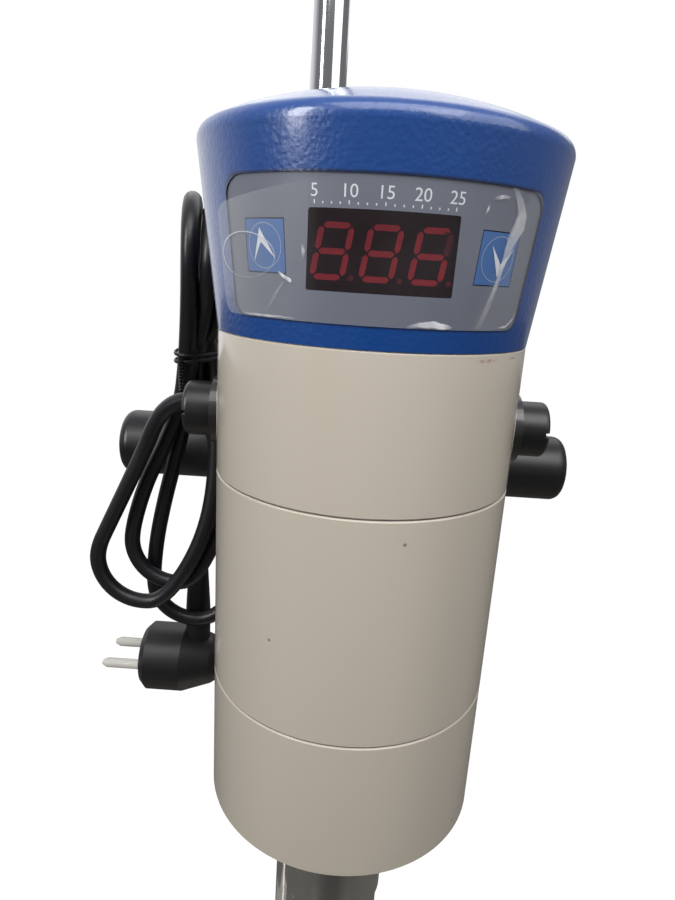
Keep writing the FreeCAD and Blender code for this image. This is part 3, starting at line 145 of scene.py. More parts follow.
# 1 at a place in mm, 0 beyond the radius; flat stretches the coordinates and so squeezes the spot
def near(where, place, radius, flat=(1, 1, 1)):
    centre = [a * b * mm for a, b in zip(place, flat)]
    away = where.node("ShaderNodeVectorMath", {0: stretched(where, flat), 1: centre}, 1, operation='DISTANCE')
    return 1 - away.above(radius * mm, radius * 0.35 * mm)


def bumped(shader, height, strength, distance):
    bump = height.node("ShaderNodeBump", {"Height": height, "Strength": strength, "Distance": distance})
    feed(shader, "Normal", bump)


def dress(node, material):  # gives a CAD node its finish
    data = nodes[node].data
    data.materials.clear()
    data.materials.append(material)


# World and floor: white to the camera, a plain soft level for the object, but a painted shadow on the floor in
# front that only the object sees
studio = {"soft": (0.25, 0.25, 0.26), "mirrored": (0.24, 0.24, 0.25), "bright": (1.0, 1.0, 1.02),
          "floor": (0.42, 0.42, 0.42), "floorShare": 0.75, "floorWhite": 1.3,
          "bounce": (0.20, 0.19, 0.17), "frontShadowBounce": (0.05, 0.047, 0.043),
          "brightLeft": (0.24, 0.16), "brightBehind": (0.15, 0.35), "brightAbove": (0.75, 0.2),
          "shadowFront": (0.16, 0.12), "shadowWide": (0.20, 0.14), "floorSize": 6, "floorDrop": 0.0004}

def makeWorld(values):  # gloss mirrors a bright side behind to the left and a half bright one above
    world = bpy.data.worlds.new("studio")
    world.use_nodes = True
    scene.world = world
    tree = world.node_tree
    tree.nodes.clear()
    path = tree.nodes.new("ShaderNodeLightPath")
    x, y, z = Sock(tree, tree.nodes.new("ShaderNodeTexCoord").outputs["Generated"]).parts()
    seen = Sock(tree, path.outputs["Is Camera Ray"]).most(Sock(tree, path.outputs["Is Transmission Ray"]))
    glossy = Sock(tree, path.outputs["Is Glossy Ray"])
    bright = (x * -1.0).above(*values["brightLeft"]) * y.above(*values["brightBehind"])
    bright = bright.most(z.above(*values["brightAbove"]) * 0.5)
    mirrored = bright.mixed(values["mirrored"], values["bright"])
    level = seen.mixed(glossy.mixed(values["soft"], mirrored), (1, 1, 1))
    background = level.node("ShaderNodeBackground", {"Color": level, "Strength": 1.0})
    output = tree.nodes.new("ShaderNodeOutputWorld")
    tree.links.new(background.socket, output.inputs["Surface"])


def makeFloor(values):
    bpy.ops.mesh.primitive_plane_add(size=values["floorSize"], location=(0, 0, -values["floorDrop"]))
    floor = bpy.context.object
    floor.name = "floor"
    material, where, shader = newMaterial("floorPale", Roughness=0.9)
    tree = where.tree
    seen = Sock(tree, tree.nodes.new("ShaderNodeLightPath").outputs["Is Camera Ray"])
    x, y, _ = where.parts()  # painted shadow: what the object mirrors of it, and the light it throws back, is darker in front, where its user stands
    frontShadow = (y * -1.0).above(*values["shadowFront"]) * (1 - abs(x).above(*values["shadowWide"]))
    bounce = frontShadow.mixed(values["bounce"], values["frontShadowBounce"])
    feed(shader, "Base Color", seen.mixed(bounce, values["floor"]))
    white = seen.node("ShaderNodeEmission", {"Strength": values["floorWhite"]})
    lit = Sock(tree, shader.outputs[0])
    mix = seen.node("ShaderNodeMixShader", {0: seen * values["floorShare"], 1: lit, 2: white})
    tree.links.new(mix.socket, tree.nodes["Material Output"].inputs["Surface"])
    floor.data.materials.append(material)
    bpy.ops.object.transform_apply(location=True)
    bpy.ops.object.select_all(action='DESELECT')


lamps = {  # place, aimed at, width, height, watts
    "keyLamp": ((-0.52, -0.44, 0.76), (0, 0, 0.50), 0.14, 0.5, 3.2),
    "topLamp": ((0.05, -0.33, 0.97), (0, 0, 0.50), 0.60, 0.4, 2.6),
    "fillLamp": ((0.45, -0.32, 0.92), (0, 0, 0.50), 0.70, 0.5, 2.2),
    "backLamp": ((0.10, 0.80, 1.20), (0, 0, 0.50), 1.20, 0.8, 3.0),
}

def makeLamps(lamps):
    for name, (place, aim, width, height, power) in lamps.items():
        data = bpy.data.lights.new(name, 'AREA')
        data.shape, data.size, data.size_y, data.energy = 'RECTANGLE', width, height, power
        lamp = bpy.data.objects.new(name, data)
        lamp.location = place
        lamp.rotation_euler = (Vector(aim) - Vector(place)).to_track_quat('-Z', 'Y').to_euler()
        collection.objects.link(lamp)

makeWorld(studio)
makeFloor(studio)
makeLamps(lamps)
scene.view_settings.view_transform = 'Standard'
print("world, floor and lamps ready")


# Mains cord: out of its gland, three loose turns through the tie, then down into the plug.
# Points are millimetres in the frame of the head, whose bottom is at headBottom.
cordSizes = {"headBottom": 310.0, "width": 7.0, "length": 1.35, "foldStep": 30, "foldShift": 0.5}
leadRoute = [(-63.2, 36.5, 139), (-71.4, 41.3, 139), (-79.8, 44, 135.4), (-86.5, 46.2, 128)]
tailRoute = [(-70.5, 66, 132), (-65, 70.5, 108), (-64.8, 73.2, 88), (-73.5, 73.1, 68), (-75, 73, 52)]
cordTurns = [  # down the left, round the fold (centre, radius, angles, depth), up the right
    {"down": [(-92, 48.2, 115), (-100.5, 49, 97), (-108.5, 49, 80)],
     "centre": (-94.5, 61), "radius": 21.5, "angles": (170, 290), "depth": 49,
     "up": [(-75.5, 50, 56), (-66.5, 51.5, 77), (-63, 54.5, 100), (-63.5, 57.5, 126)]},
    {"down": [(-78, 55, 134), (-86, 56.2, 114), (-95, 56.2, 96)],
     "centre": (-81.5, 67.5), "radius": 21, "angles": (170, 290), "depth": 56.2,
     "up": [(-64.5, 58, 66), (-58.5, 60, 86), (-57.5, 62.5, 108), (-61.5, 65.5, 132)]},
    {"down": [(-77, 62, 133), (-83, 64, 108), (-89, 63.6, 84), (-93, 63.4, 63)],
     "centre": (-74.5, 44.5), "radius": 20.5, "angles": (190, 300), "depth": 63.2,
     "up": [(-54, 65, 38), (-47.5, 69, 60), (-46, 73, 86), (-50, 75, 112), (-58.5, 75.5, 136)]},
]
# The folds above the tie: each next one is moved by the steps named next, tieNext and legNext
topFold = {"centre": (-72.8, 54.5, 195), "radius": 22.3, "lean": 4.2, "next": (7.4, 0, -4.5),
           "tieRear": (-67, 65, 154), "tieFront": (-74, 48, 154), "tieNext": (0, 7.4, 0),
           "legRear": (-73.5, 66.5, 176), "legFront": (-70.5, 38.5, 176), "legNext": (5.3, 5.2, -1.5)}

def turnRoute(turn):
    first, last = turn["angles"]
    count = round(abs(last - first) / cordSizes["foldStep"])
    fold = []
    for i in range(count + 1):
        angle = math.radians(first + (last - first) * i / count)
        fold.append((turn["centre"][0] + turn["radius"] * math.cos(angle),
                     turn["depth"] + cordSizes["foldShift"] * i / count,
                     turn["centre"][1] + turn["radius"] * math.sin(angle)))
    return turn["down"] + fold + turn["up"]


def topRoute(fold, number):  # from the rear strand at the tie over the top to the front one
    def shifted(point, step):
        return tuple(a + number * b for a, b in zip(point, fold[step]))
    x, y, z = fold["centre"]
    arc = []
    for degrees in range(0, 181, cordSizes["foldStep"]):
        angle = math.radians(degrees)
        arc.append(shifted((x - fold["lean"] * math.cos(angle), y + fold["radius"] * math.cos(angle),
                            z + fold["radius"] * math.sin(angle)), "next"))
    return ([shifted(fold["tieRear"], "tieNext"), shifted(fold["legRear"], "legNext")] + arc
            + [shifted(fold["legFront"], "legNext"), shifted(fold["tieFront"], "tieNext")])


def cordRoute():
    route = list(leadRoute)
    for number, turn in enumerate(cordTurns):
        route += turnRoute(turn) + topRoute(topFold, number)
    return [Vector((x, y, z + cordSizes["headBottom"])) * mm for x, y, z in route + tailRoute]


def makeCord():
    data = bpy.data.curves.new("mainsCord", 'CURVE')
    data.dimensions = '3D'
    spline = data.splines.new('NURBS')
    route = cordRoute()
    spline.points.add(len(route) - 1)
    for point, place in zip(spline.points, route):
        point.co = (*place, 1)
        point.radius = cordSizes["width"] / 2 * mm  # times the bevel of 1 m
    spline.order_u = 3
    spline.use_endpoint_u = True
    spline.resolution_u = 6
    data.bevel_depth = 1.0
    data.bevel_resolution = 5
    cord = bpy.data.objects.new("mainsCord", data)
    collection.objects.link(cord)
    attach(cord, "head")
    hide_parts("cord_tube", "cord_hank")
    return cord


def joined(pieces):  # the first of the pieces, with the others in its mesh
    bpy.ops.object.select_all(action='DESELECT')
    for piece in pieces:
        piece.select_set(True)
    bpy.context.view_layer.objects.active = pieces[0]
    bpy.ops.object.join()
    return bpy.context.object


# The tie: two thin turns of coated wire round the strands, with their ends twisted together
tieSizes = {"middle": (-70.5, 63.9), "heights": (463.4, 466.2), "halfWide": 8.4, "halfDeep": 21.2,
            "turned": -12.4, "wire": 0.8, "tilt": 3.0, "twists": 5, "twistPitch": 2.6, "twistWide": 0.9,
            "twistFrom": (-4.5, 0.3), "twistAlong": (0.12, -0.28, -0.95)}

def makeTie(sizes):
    bpy.ops.object.select_all(action='DESELECT')
    x, y = sizes["middle"]
    turns = []
    for i, z in enumerate(sizes["heights"]):
        lean = math.radians(sizes["tilt"] * (2 * i - 1))
        bpy.ops.mesh.primitive_torus_add(major_radius=1, minor_radius=sizes["wire"] / sizes["halfDeep"],
                                         major_segments=48, minor_segments=8,
                                         location=Vector((x, y, z)) * mm,
                                         rotation=(0, lean, math.radians(sizes["turned"])))
        turn = bpy.context.object
        turn.scale = (sizes["halfWide"] * mm, sizes["halfDeep"] * mm, sizes["halfDeep"] * mm)
        bpy.ops.object.transform_apply(location=True, rotation=True, scale=True)
        turns.append(turn)
    steps = sizes["twists"] * 8
    length = sizes["twists"] * sizes["twistPitch"]
    aside, back = sizes["twistFrom"]
    root = Vector((x + aside, y - sizes["halfDeep"] + back, sum(sizes["heights"]) / 2))
    for phase in (0, math.pi):  # the ends wind round each other, down and to the front
        bpy.ops.mesh.primitive_cylinder_add(vertices=8, radius=sizes["wire"] * mm, depth=1)
        end = bpy.context.object
        bpy.ops.object.mode_set(mode='EDIT')
        for i in range(1, steps):
            bpy.ops.mesh.select_all(action='SELECT')
            bpy.ops.mesh.bisect(plane_co=(0, 0, i / steps - 0.5), plane_no=(0, 0, 1))
        bpy.ops.object.mode_set(mode='OBJECT')
        for vertex in end.data.vertices:
            share = vertex.co.z + 0.5
            angle = phase + share * sizes["twists"] * 2 * math.pi
            place = root + Vector(sizes["twistAlong"]) * share * length
            around = Vector((math.cos(angle), math.sin(angle), 0)) * sizes["twistWide"]
            vertex.co = (place + around) * mm + Vector((vertex.co.x, vertex.co.y, 0))
        turns.append(end)
    tie = joined(turns)
    tie.name = "cordTie"
    bpy.ops.object.shade_smooth_by_angle(angle=math.radians(40))
    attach(tie, "head")
    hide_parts("cord_tie")
    bpy.ops.object.select_all(action='DESELECT')
    return tie


mainsCord = makeCord()
cordTie = makeTie(tieSizes)
tuple(cordRoute()[0])
print("cord and tie ready")


# Finishes. Colours are linear; the coordinates are in metres.
def rubbedPlastic(name, dark, light, rough, grainScale=1500.0, grainDepth=0.12):
    material, where, shader = newMaterial(name, Roughness=rough)
    grain = noise(where, grainScale, 3.0)
    feed(shader, "Base Color", noise(where, 90.0, 4.0).mixed(dark, light))
    feed(shader, "Roughness", noise(where, 45.0, 3.0) * 0.14 + (rough - 0.07))
    bumped(shader, grain, grainDepth, 0.0002)
    return material


def polishedMetal(name, dark, light, rough, streaks, depth=0.012):
    material, where, shader = newMaterial(name, Metallic=1.0, Roughness=rough)
    lines = noise(stretched(where, streaks), 60.0, 4.0, 0.6)
    feed(shader, "Base Color", lines.mixed(dark, light))
    feed(shader, "Roughness", lines * 0.08 + (rough - 0.04))
    bumped(shader, lines, depth, 0.0002)
    return material


# line is the half width in mm of the painted shade in the seams
seamSizes = {"heights": (361.2, 436.5), "line": 0.16, "matt": 0.75, "bossReach": 50.15, "bossLow": 0.40}
paintMarks = {"specks": [((-25.4, -43.0, 392.7), 0.5), ((12.7, -48.4, 429.3), 0.55),
                         ((40.8, -28.9, 316.1), 0.5)],
              "rubs": [((31.5, -38.8, 481.2), 4.2), ((40.5, -29.3, 481.4), 2.2)], "rubFlat": (1, 1, 9)}

def paintedHousing():  # cream gloss paint with soft bands, a few specks, rubbed marks under the cap and painted shade in its seams
    material, where, shader = newMaterial("creamPaint", Coat_Roughness=0.07)
    bands = noise(stretched(where, (34, 34, 2.5)), 1.0, 3.0)
    colour = bands.mixed((0.520, 0.465, 0.385), (0.570, 0.515, 0.440))
    for place, radius in paintMarks["specks"]:
        colour = (near(where, place, radius) * 0.75).mixed(colour, (0.12, 0.10, 0.08))
    for place, radius in paintMarks["rubs"]:
        rub = near(where, place, radius, paintMarks["rubFlat"]) * noise(where, 700.0, 3.0).above(0.45, 0.12)
        colour = (rub * 0.8).mixed(colour, (0.36, 0.20, 0.16))
    x, y, z = where.parts()
    # painted shade: a dark hairline in the seam grooves between the housing sections
    lowSeam, highSeam = [abs(z * 1000.0 - height) for height in seamSizes["heights"]]
    off = lowSeam.maths('MINIMUM', lowSeam, highSeam)  # mm from the nearer seam
    line = 1 - off.above(seamSizes["line"], 0.08)
    matt = 1 - off.above(seamSizes["matt"], 0.1)
    colour = (line * 0.85).mixed(colour, (0.035, 0.030, 0.024))
    reach = ((x * x + y * y) ** 0.5 * 1000.0).above(seamSizes["bossReach"], 0.05)
    boss = reach * z.above(seamSizes["bossLow"], 0.001)  # the seats of the brush caps are black
    feed(shader, "Base Color", boss.mixed(colour, (0.010, 0.010, 0.011)))
    feed(shader, "Roughness", (bands * 0.12 + 0.16).most(matt * 0.5).most(boss * 0.4))
    feed(shader, "Coat Weight", (1 - matt * 0.85) * 0.6)
    bumped(shader, noise(where, 260.0, 2.0), 0.05, 0.0004)
    return material


panelEdge = {"middle": 507.25, "halfTall": 17.75, "halfWide": 46.27, "corner": 4.5, "radius": 53.02}
# angle is the half width in mm of the painted shade round the panel
capSizes = {"domeLow": 0.5405, "angle": 0.5}

def fromPanelEdge(where):  # mm from the rounded outline of the wrapped panel, below 0 inside it
    x, y, z = where.parts()
    across = x.maths('ARCTAN2', x, y * -1.0) * panelEdge["radius"]
    wide = (abs(across) - (panelEdge["halfWide"] - panelEdge["corner"])).most(0.0)
    tall = (abs(z * 1000.0 - panelEdge["middle"]) - (panelEdge["halfTall"] - panelEdge["corner"])).most(0.0)
    return (wide * wide + tall * tall) ** 0.5 - panelEdge["corner"]


def paintedCap():  # blue moulded cap with a fine leather grain, and painted shade in the angle round its panel
    material, where, shader = newMaterial("capBlue", Coat_Weight=0.7, Coat_Roughness=0.13)
    cells = where.node("ShaderNodeTexVoronoi", {"Vector": where, "Scale": 850.0}, feature='SMOOTH_F1')
    colour = noise(where, 14.0, 3.0).mixed((0.004, 0.050, 0.225), (0.006, 0.060, 0.260))
    _, y, z = where.parts()
    # painted shade: a dark band along the panel's edge on the front, where the wall of its recess is in shade
    angle = (1 - abs(fromPanelEdge(where)).above(capSizes["angle"], 0.25)) * (1 - y.above(0.0, 0.001))
    feed(shader, "Base Color", (angle * 0.85).mixed(colour, (0.004, 0.010, 0.040)))
    feed(shader, "Roughness", noise(where, 700.0, 2.0) * 0.18 + 0.23)
    side = 1 - z.above(capSizes["domeLow"], 0.0015)  # the dome is smooth
    bumped(shader, (cells + noise(where, 1900.0, 2.0) * 0.4) * side, 0.26, 0.0004)
    return material


def printedPanel():  # grey printed film with a faint cloud in its ink
    material, where, shader = newMaterial("panelFilm", Roughness=0.45, Coat_Weight=0.25, Coat_Roughness=0.25)
    cloud = noise(where, 55.0, 4.0)
    feed(shader, "Base Color", cloud.mixed((0.130, 0.143, 0.182), (0.160, 0.175, 0.218)))
    feed(shader, "Roughness", noise(where, 160.0, 3.0) * 0.2 + 0.35)
    bumped(shader, noise(where, 2600.0, 2.0), 0.10, 0.0002)
    return material


def smokedWindow():  # dark red lens, clear enough for the lit digits
    material, where, shader = newMaterial("smokedLens", Roughness=0.12, Coat_Weight=0.2, Coat_Roughness=0.05)
    haze = noise(where, 120.0, 3.0)
    feed(shader, "Base Color", haze.mixed((0.012, 0.004, 0.007), (0.020, 0.007, 0.011)))
    feed(shader, "Alpha", haze * 0.1 + 0.45)
    return material


digitSizes = {"dots": [(-7.3, -46.4, 500.9), (5.2, -46.4, 500.9), (17.7, -46.4, 500.9)], "dotRadius": 0.9,
              "dotHigh": 0.5022, "offLeft": 0.0154, "offLow": 0.5080, "offHigh": 0.5136}

def litDigits():  # the decimal points and the upper right segment of the last digit are off
    material, where, shader = newMaterial("litSegments", Roughness=0.5, Emission_Strength=1.0)
    x, _, z = where.parts()
    glow = noise(where, 500.0, 2.0)
    colour = glow.mixed((0.40, 0.028, 0.040), (0.52, 0.040, 0.055))
    dim = (x.above(digitSizes["offLeft"], 0.0002) * z.above(digitSizes["offLow"], 0.0003)
           * (1 - z.above(digitSizes["offHigh"], 0.0003)))
    first, second, third = [near(where, place, digitSizes["dotRadius"]) for place in digitSizes["dots"]]
    dots = (1 - z.above(digitSizes["dotHigh"], 0.0002)) * first.most(second).most(third)
    colour = (dim * 0.85).most(dots * 0.7).mixed(colour, (0.05, 0.012, 0.018))
    feed(shader, "Base Color", colour)
    feed(shader, "Emission Color", colour)
    return material


def paintedMetal(name, dark, light, rough):
    material, where, shader = newMaterial(name, Roughness=rough, Coat_Weight=0.3, Coat_Roughness=0.2)
    feed(shader, "Base Color", noise(where, 30.0, 4.0).mixed(dark, light))
    feed(shader, "Roughness", noise(where, 180.0, 3.0) * 0.16 + (rough - 0.08))
    bumped(shader, noise(where, 420.0, 3.0), 0.10, 0.0004)
    return material


def stackedSheets():  # the motor's steel laminations
    material, where, shader = newMaterial("laminations", Metallic=0.8, Roughness=0.45)
    z = where.parts()[2]
    sheets = z.maths('FRACT', z * 2000.0)
    feed(shader, "Base Color", sheets.above(0.5, 0.3).mixed((0.16, 0.155, 0.15), (0.32, 0.31, 0.30)))
    bumped(shader, sheets, 0.3, 0.0003)
    return material


def woundCopper():
    material, where, shader = newMaterial("windingCopper", Metallic=0.9, Roughness=0.3)
    x, _, z = where.parts()
    wires = z.maths('SINE', (z + x * 0.2) * 9000.0)
    feed(shader, "Base Color", wires.above(0.0, 0.8).mixed((0.20, 0.055, 0.02), (0.62, 0.24, 0.10)))
    bumped(shader, wires, 0.5, 0.0002)
    return material


finishes = {
    paintedHousing(): ["lower_housing", "middle_housing", "upper_housing", "base_plate"],
    paintedCap(): ["control_cap"],
    printedPanel(): ["panel_overlay"],
    smokedWindow(): ["display_window"],
    litDigits(): ["display_digits"],
    rubbedPlastic("keyBlue", (0.045, 0.125, 0.330), (0.060, 0.155, 0.390), 0.42): ["key_up", "key_down"],
    rubbedPlastic("blackPlastic", (0.007, 0.007, 0.008), (0.012, 0.012, 0.014), 0.34, 1100.0, 0.10): [
        "brush_cap_left", "brush_cap_right", "column_clamp_knob", "arm_clamp_knob", "cord_gland"],
    rubbedPlastic("plugBlack", (0.006, 0.006, 0.007), (0.011, 0.011, 0.013), 0.42, 1500.0, 0.14): [
        "plug_body", "cord_tie"],
    rubbedPlastic("cordSheath", (0.006, 0.006, 0.008), (0.011, 0.011, 0.014), 0.36, 1200.0, 0.10): [],
    rubbedPlastic("paleSleeve", (0.60, 0.58, 0.53), (0.72, 0.70, 0.65), 0.5): ["plug_pins"],
    rubbedPlastic("ledBlack", (0.010, 0.008, 0.009), (0.02, 0.016, 0.018), 0.6): [
        "led_display", "key_switches"],
    rubbedPlastic("footRubber", (0.012, 0.012, 0.012), (0.03, 0.03, 0.03), 0.75, 700.0, 0.3): [
        "rubber_feet", "shaft_seal"],
    rubbedPlastic("naturalNylon", (0.62, 0.60, 0.55), (0.72, 0.70, 0.65), 0.45): [
        "column_liner", "arm_liner", "tool_bushes"],
    rubbedPlastic("fanPlastic", (0.015, 0.015, 0.017), (0.03, 0.03, 0.033), 0.5): ["cooling_fan"],
    rubbedPlastic("brownMoulding", (0.035, 0.014, 0.008), (0.06, 0.025, 0.014), 0.4): [
        "brush_holder_left", "brush_holder_right"],
    rubbedPlastic("pressedCarbon", (0.02, 0.02, 0.02), (0.045, 0.045, 0.045), 0.65): ["carbon_brushes"],
    rubbedPlastic("boardGreen", (0.006, 0.055, 0.020), (0.010, 0.080, 0.030), 0.4): [
        "circuit_board", "power_board"],
    paintedMetal("clampBlack", (0.010, 0.010, 0.011), (0.020, 0.020, 0.021), 0.38): ["clamp_body"],
    paintedMetal("castAluminium", (0.40, 0.40, 0.41), (0.50, 0.50, 0.51), 0.5): ["bearing_bracket"],
    polishedMetal("columnChrome", (0.50, 0.51, 0.52), (0.62, 0.63, 0.64), 0.10, (1, 1, 0.03)): ["column"],
    polishedMetal("polishedSteel", (0.46, 0.455, 0.45), (0.54, 0.535, 0.53), 0.24, (1, 1, 30)): [
        "nose_sleeve", "coupling_nut", "tool_tube", "stator_head", "tool_shaft", "rotor_knife", "support_arm"],
    polishedMetal("brightZinc", (0.40, 0.41, 0.42), (0.55, 0.56, 0.57), 0.34, (6, 6, 6)): [
        "column_nut", "column_clamp_screw", "arm_clamp_screw", "head_screws", "housing_bolts", "foot_screws"],
    polishedMetal("groundSteel", (0.30, 0.30, 0.31), (0.42, 0.42, 0.43), 0.3, (1, 1, 10)): [
        "motor_shaft", "upper_bearing", "lower_bearing", "drive_coupling", "brush_springs"],
    polishedMetal("commutatorCopper", (0.45, 0.17, 0.08), (0.62, 0.27, 0.13), 0.25, (1, 1, 20)): ["commutator"],
    stackedSheets(): ["field_stator", "armature_core"],
    woundCopper(): ["field_coils", "armature_windings"],
}
for material, names in finishes.items():
    for name in names:
        dress(name, material)
mainsCord.data.materials.append(bpy.data.materials["cordSheath"])
cordTie.data.materials.append(bpy.data.materials["plugBlack"])
print("finishes ready")


# Print and film on the wrapped panel. Flat shapes are drawn in mm, x along the arc, and then laid on the cone.
# ink, ringInk and arrowInk are depths under the cone's surface.
panelSizes = {"seam": 483.3, "rise": 56.7, "seamRadius": 50.0, "flare": 7.0, "keyAngle": 35.0, "keyHeight": 507.8,
              "ink": 0.37, "ringInk": 0.34, "arrowInk": 0.32}

def coneRadius(z):
    return panelSizes["seamRadius"] + panelSizes["flare"] * (z - panelSizes["seam"]) / panelSizes["rise"]


def layOnCone(piece, inset):  # x is the arc in mm at the height of the keys
    for vertex in piece.data.vertices:
        radius = coneRadius(vertex.co.z) - inset
        angle = vertex.co.x / coneRadius(panelSizes["keyHeight"])
        vertex.co = Vector((radius * math.sin(angle), -radius * math.cos(angle), vertex.co.z)) * mm
    piece.data.update()


def finishFlat(piece, name, inset, material, body="head"):
    piece.name = name
    bpy.ops.object.mode_set(mode='OBJECT')
    bpy.ops.object.transform_apply(location=True, rotation=True, scale=True)
    layOnCone(piece, inset)
    piece.data.materials.append(material)
    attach(piece, body)
    bpy.ops.object.select_all(action='DESELECT')


def printInk(name, dark, light):
    material, where, shader = newMaterial(name, Roughness=0.5)
    feed(shader, "Base Color", noise(where, 900.0, 2.0).mixed(dark, light))
    return material


whiteInk = printInk("whiteInk", (0.62, 0.64, 0.68), (0.74, 0.76, 0.80))
paleInk = printInk("paleInk", (0.20, 0.28, 0.46), (0.30, 0.38, 0.55))
scaleSizes = {"numbers": (5, 10, 15, 20, 25), "pitch": 8.6, "height": 4.3, "foot": 519.6, "tickFoot": 518.0,
              "tickHeight": 0.9, "shortTick": 0.54, "tickWidth": 0.3, "between": 4}

def makeScale(sizes):
    middle = (len(sizes["numbers"]) - 1) / 2
    numbers, ticks = [], []
    for i, number in enumerate(sizes["numbers"]):
        bpy.ops.object.text_add(location=((i - middle) * sizes["pitch"], 0, sizes["foot"]),
                                rotation=(math.pi / 2, 0, 0))
        words = bpy.context.object
        words.data.body, words.data.size, words.data.align_x = str(number), sizes["height"], 'CENTER'
        words.data.resolution_u = 4
        bpy.ops.object.convert(target='MESH')
        bpy.ops.object.transform_apply(location=True, rotation=True)
        numbers.append(bpy.context.object)
    for i in range((len(sizes["numbers"]) - 1) * sizes["between"] + 1):
        tall = sizes["shortTick"] if i % sizes["between"] else sizes["tickHeight"]
        bpy.ops.mesh.primitive_plane_add(size=1, rotation=(math.pi / 2, 0, 0),
                                         location=((i / sizes["between"] - middle) * sizes["pitch"], 0,
                                                   sizes["tickFoot"] + tall / 2))
        bpy.context.object.scale = (sizes["tickWidth"], tall, 1)
        bpy.ops.object.transform_apply(location=True, rotation=True, scale=True)
        ticks.append(bpy.context.object)
    finishFlat(joined(numbers), "scaleNumbers", panelSizes["ink"], whiteInk)
    finishFlat(joined(ticks), "scaleTicks", panelSizes["ink"], whiteInk)

makeScale(scaleSizes)


# A thin ring and an arrow head on each key. Two arms taper from the tip to their feet.
# Their places are mm from the key's middle.
keyMarks = {
    "Up": {"body": "key_up", "side": -1, "tip": (-1.4, 4.4), "inner": (-1.1, 0.9),
           "feet": ((-3.9, -4.1), (3.75, -3.1))},
    "Down": {"body": "key_down", "side": 1, "tip": (0.75, -4.4), "inner": (1.1, -1.2),
             "feet": ((-2.9, 3.3), (5.2, 3.0))},
}
ringSizes = {"radius": 5.7, "line": 0.24}

def makeArm(middle, corners):  # a triangle, cut fine enough to wrap round the cone
    bpy.ops.mesh.primitive_circle_add(vertices=3, fill_type='NGON')
    arm = bpy.context.object
    for vertex, (across, up) in zip(arm.data.vertices, corners):
        vertex.co = (middle + across, 0, panelSizes["keyHeight"] + up)
    bpy.ops.object.mode_set(mode='EDIT')
    bpy.ops.mesh.select_all(action='SELECT')
    bpy.ops.mesh.subdivide(number_cuts=3)
    bpy.ops.object.mode_set(mode='OBJECT')
    if arm.data.polygons[0].normal.y > 0:  # outwards is -y before the wrap
        arm.data.flip_normals()
    return arm


def makeKeyMarks(marks, ring):
    height = panelSizes["keyHeight"]
    for name, mark in marks.items():
        body = mark["body"]
        middle = mark["side"] * math.radians(panelSizes["keyAngle"]) * coneRadius(height)
        bpy.ops.mesh.primitive_circle_add(vertices=64, radius=ring["radius"], fill_type='NGON',
                                          location=(middle, 0, height), rotation=(math.pi / 2, 0, 0))
        bpy.ops.object.mode_set(mode='EDIT')
        bpy.ops.mesh.select_all(action='SELECT')
        bpy.ops.mesh.inset(thickness=ring["line"], depth=0)
        bpy.ops.mesh.delete(type='FACE')
        finishFlat(bpy.context.object, f"key{name}Ring", panelSizes["ringInk"], paleInk, body)
        arms = [makeArm(middle, (mark["tip"], mark["inner"], foot)) for foot in mark["feet"]]
        finishFlat(joined(arms), f"key{name}Arrow", panelSizes["arrowInk"], whiteInk, body)

makeKeyMarks(keyMarks, ringSizes)


# Painted highlights in the film: bright lines along its creases and edges, and glints. A crease has stops of
# place along it, place aside, half width (mm) and brightness.
filmCreaseHighlights = {
    "rise": [
        [(525.2, 32.6, 1.2, 0.10), (522.4, 35.4, 1.6, 0.35), (518.9, 37.6, 2.4, 0.50), (515.5, 37.2, 3.0, 0.58),
         (512.6, 35.8, 2.4, 0.52), (508.5, 34.5, 1.3, 0.48), (503.0, 33.6, 0.9, 0.50), (499.0, 32.6, 1.1, 0.38),
         (494.7, 31.5, 1.3, 0.28), (489.6, 29.6, 1.6, 0.15)],
        [(509.0, -20.3, 0.3, 0.0), (507.0, -19.9, 0.6, 0.5), (504.5, -20.3, 0.3, 0.0)],
        [(520.6, 25.6, 0.2, 0.0), (519.2, 25.5, 0.45, 0.6), (517.6, 24.9, 0.2, 0.0)],
        [(501.0, -24.2, 0.2, 0.0), (497.5, -27.5, 0.7, 0.25), (490.5, -33.0, 0.9, 0.12)],
    ],
    "across": [
        [(-51.7, 518.4, 0.3, 0.8), (-46.5, 520.1, 0.35, 0.9), (-41.6, 520.7, 0.25, 0.35),
         (-35.9, 521.1, 0.4, 0.6), (-29.2, 521.9, 0.2, 0.3), (-20.0, 523.0, 0.2, 0.0)],
        [(-27.8, 501.5, 0.3, 0.3), (-26.4, 500.7, 0.6, 0.9), (-25.2, 500.0, 0.5, 0.6), (-24.0, 499.5, 0.6, 1.0),
         (-23.2, 499.3, 0.2, 0.0)],
        [(7.5, 489.9, 0.2, 0.0), (11.5, 490.5, 0.8, 0.65), (15.0, 490.7, 1.1, 0.75), (18.3, 490.2, 1.0, 1.0),
         (21.5, 490.1, 0.2, 0.0)],
        [(26.5, 521.7, 0.3, 0.0), (29.0, 522.2, 0.7, 0.6), (31.8, 522.6, 0.3, 0.2)],
        [(-46.0, 490.2, 0.3, 0.1), (-38.0, 489.9, 0.35, 0.55), (-30.0, 490.0, 0.3, 0.7),
         (-22.0, 490.1, 0.2, 0.1)],
        [(36.0, 490.1, 0.2, 0.1), (41.0, 490.5, 0.4, 0.8), (44.0, 492.5, 0.5, 0.8), (45.6, 496.0, 0.4, 0.1)],
    ],
}
# the ring pressed into the film, drawn as a painted highlight
filmRingHighlight = {"across": -39.8, "rise": 505.3, "wide": 11.2, "tall": 5.8, "line": 0.05}
# the veil's slant and edge mark off a painted sheen right of the main crease
filmSizes = {"left": -52.5, "right": 46.3, "low": 489.5, "high": 524.9, "outwards": 0.05, "slantFoot": 518.0,
             "slant": 0.15, "corner": 4.0, "cuts": 52,
             "veilLeft": (-32.0, 16.0), "sheenSlant": 0.35, "sheenEdge": 144.0}

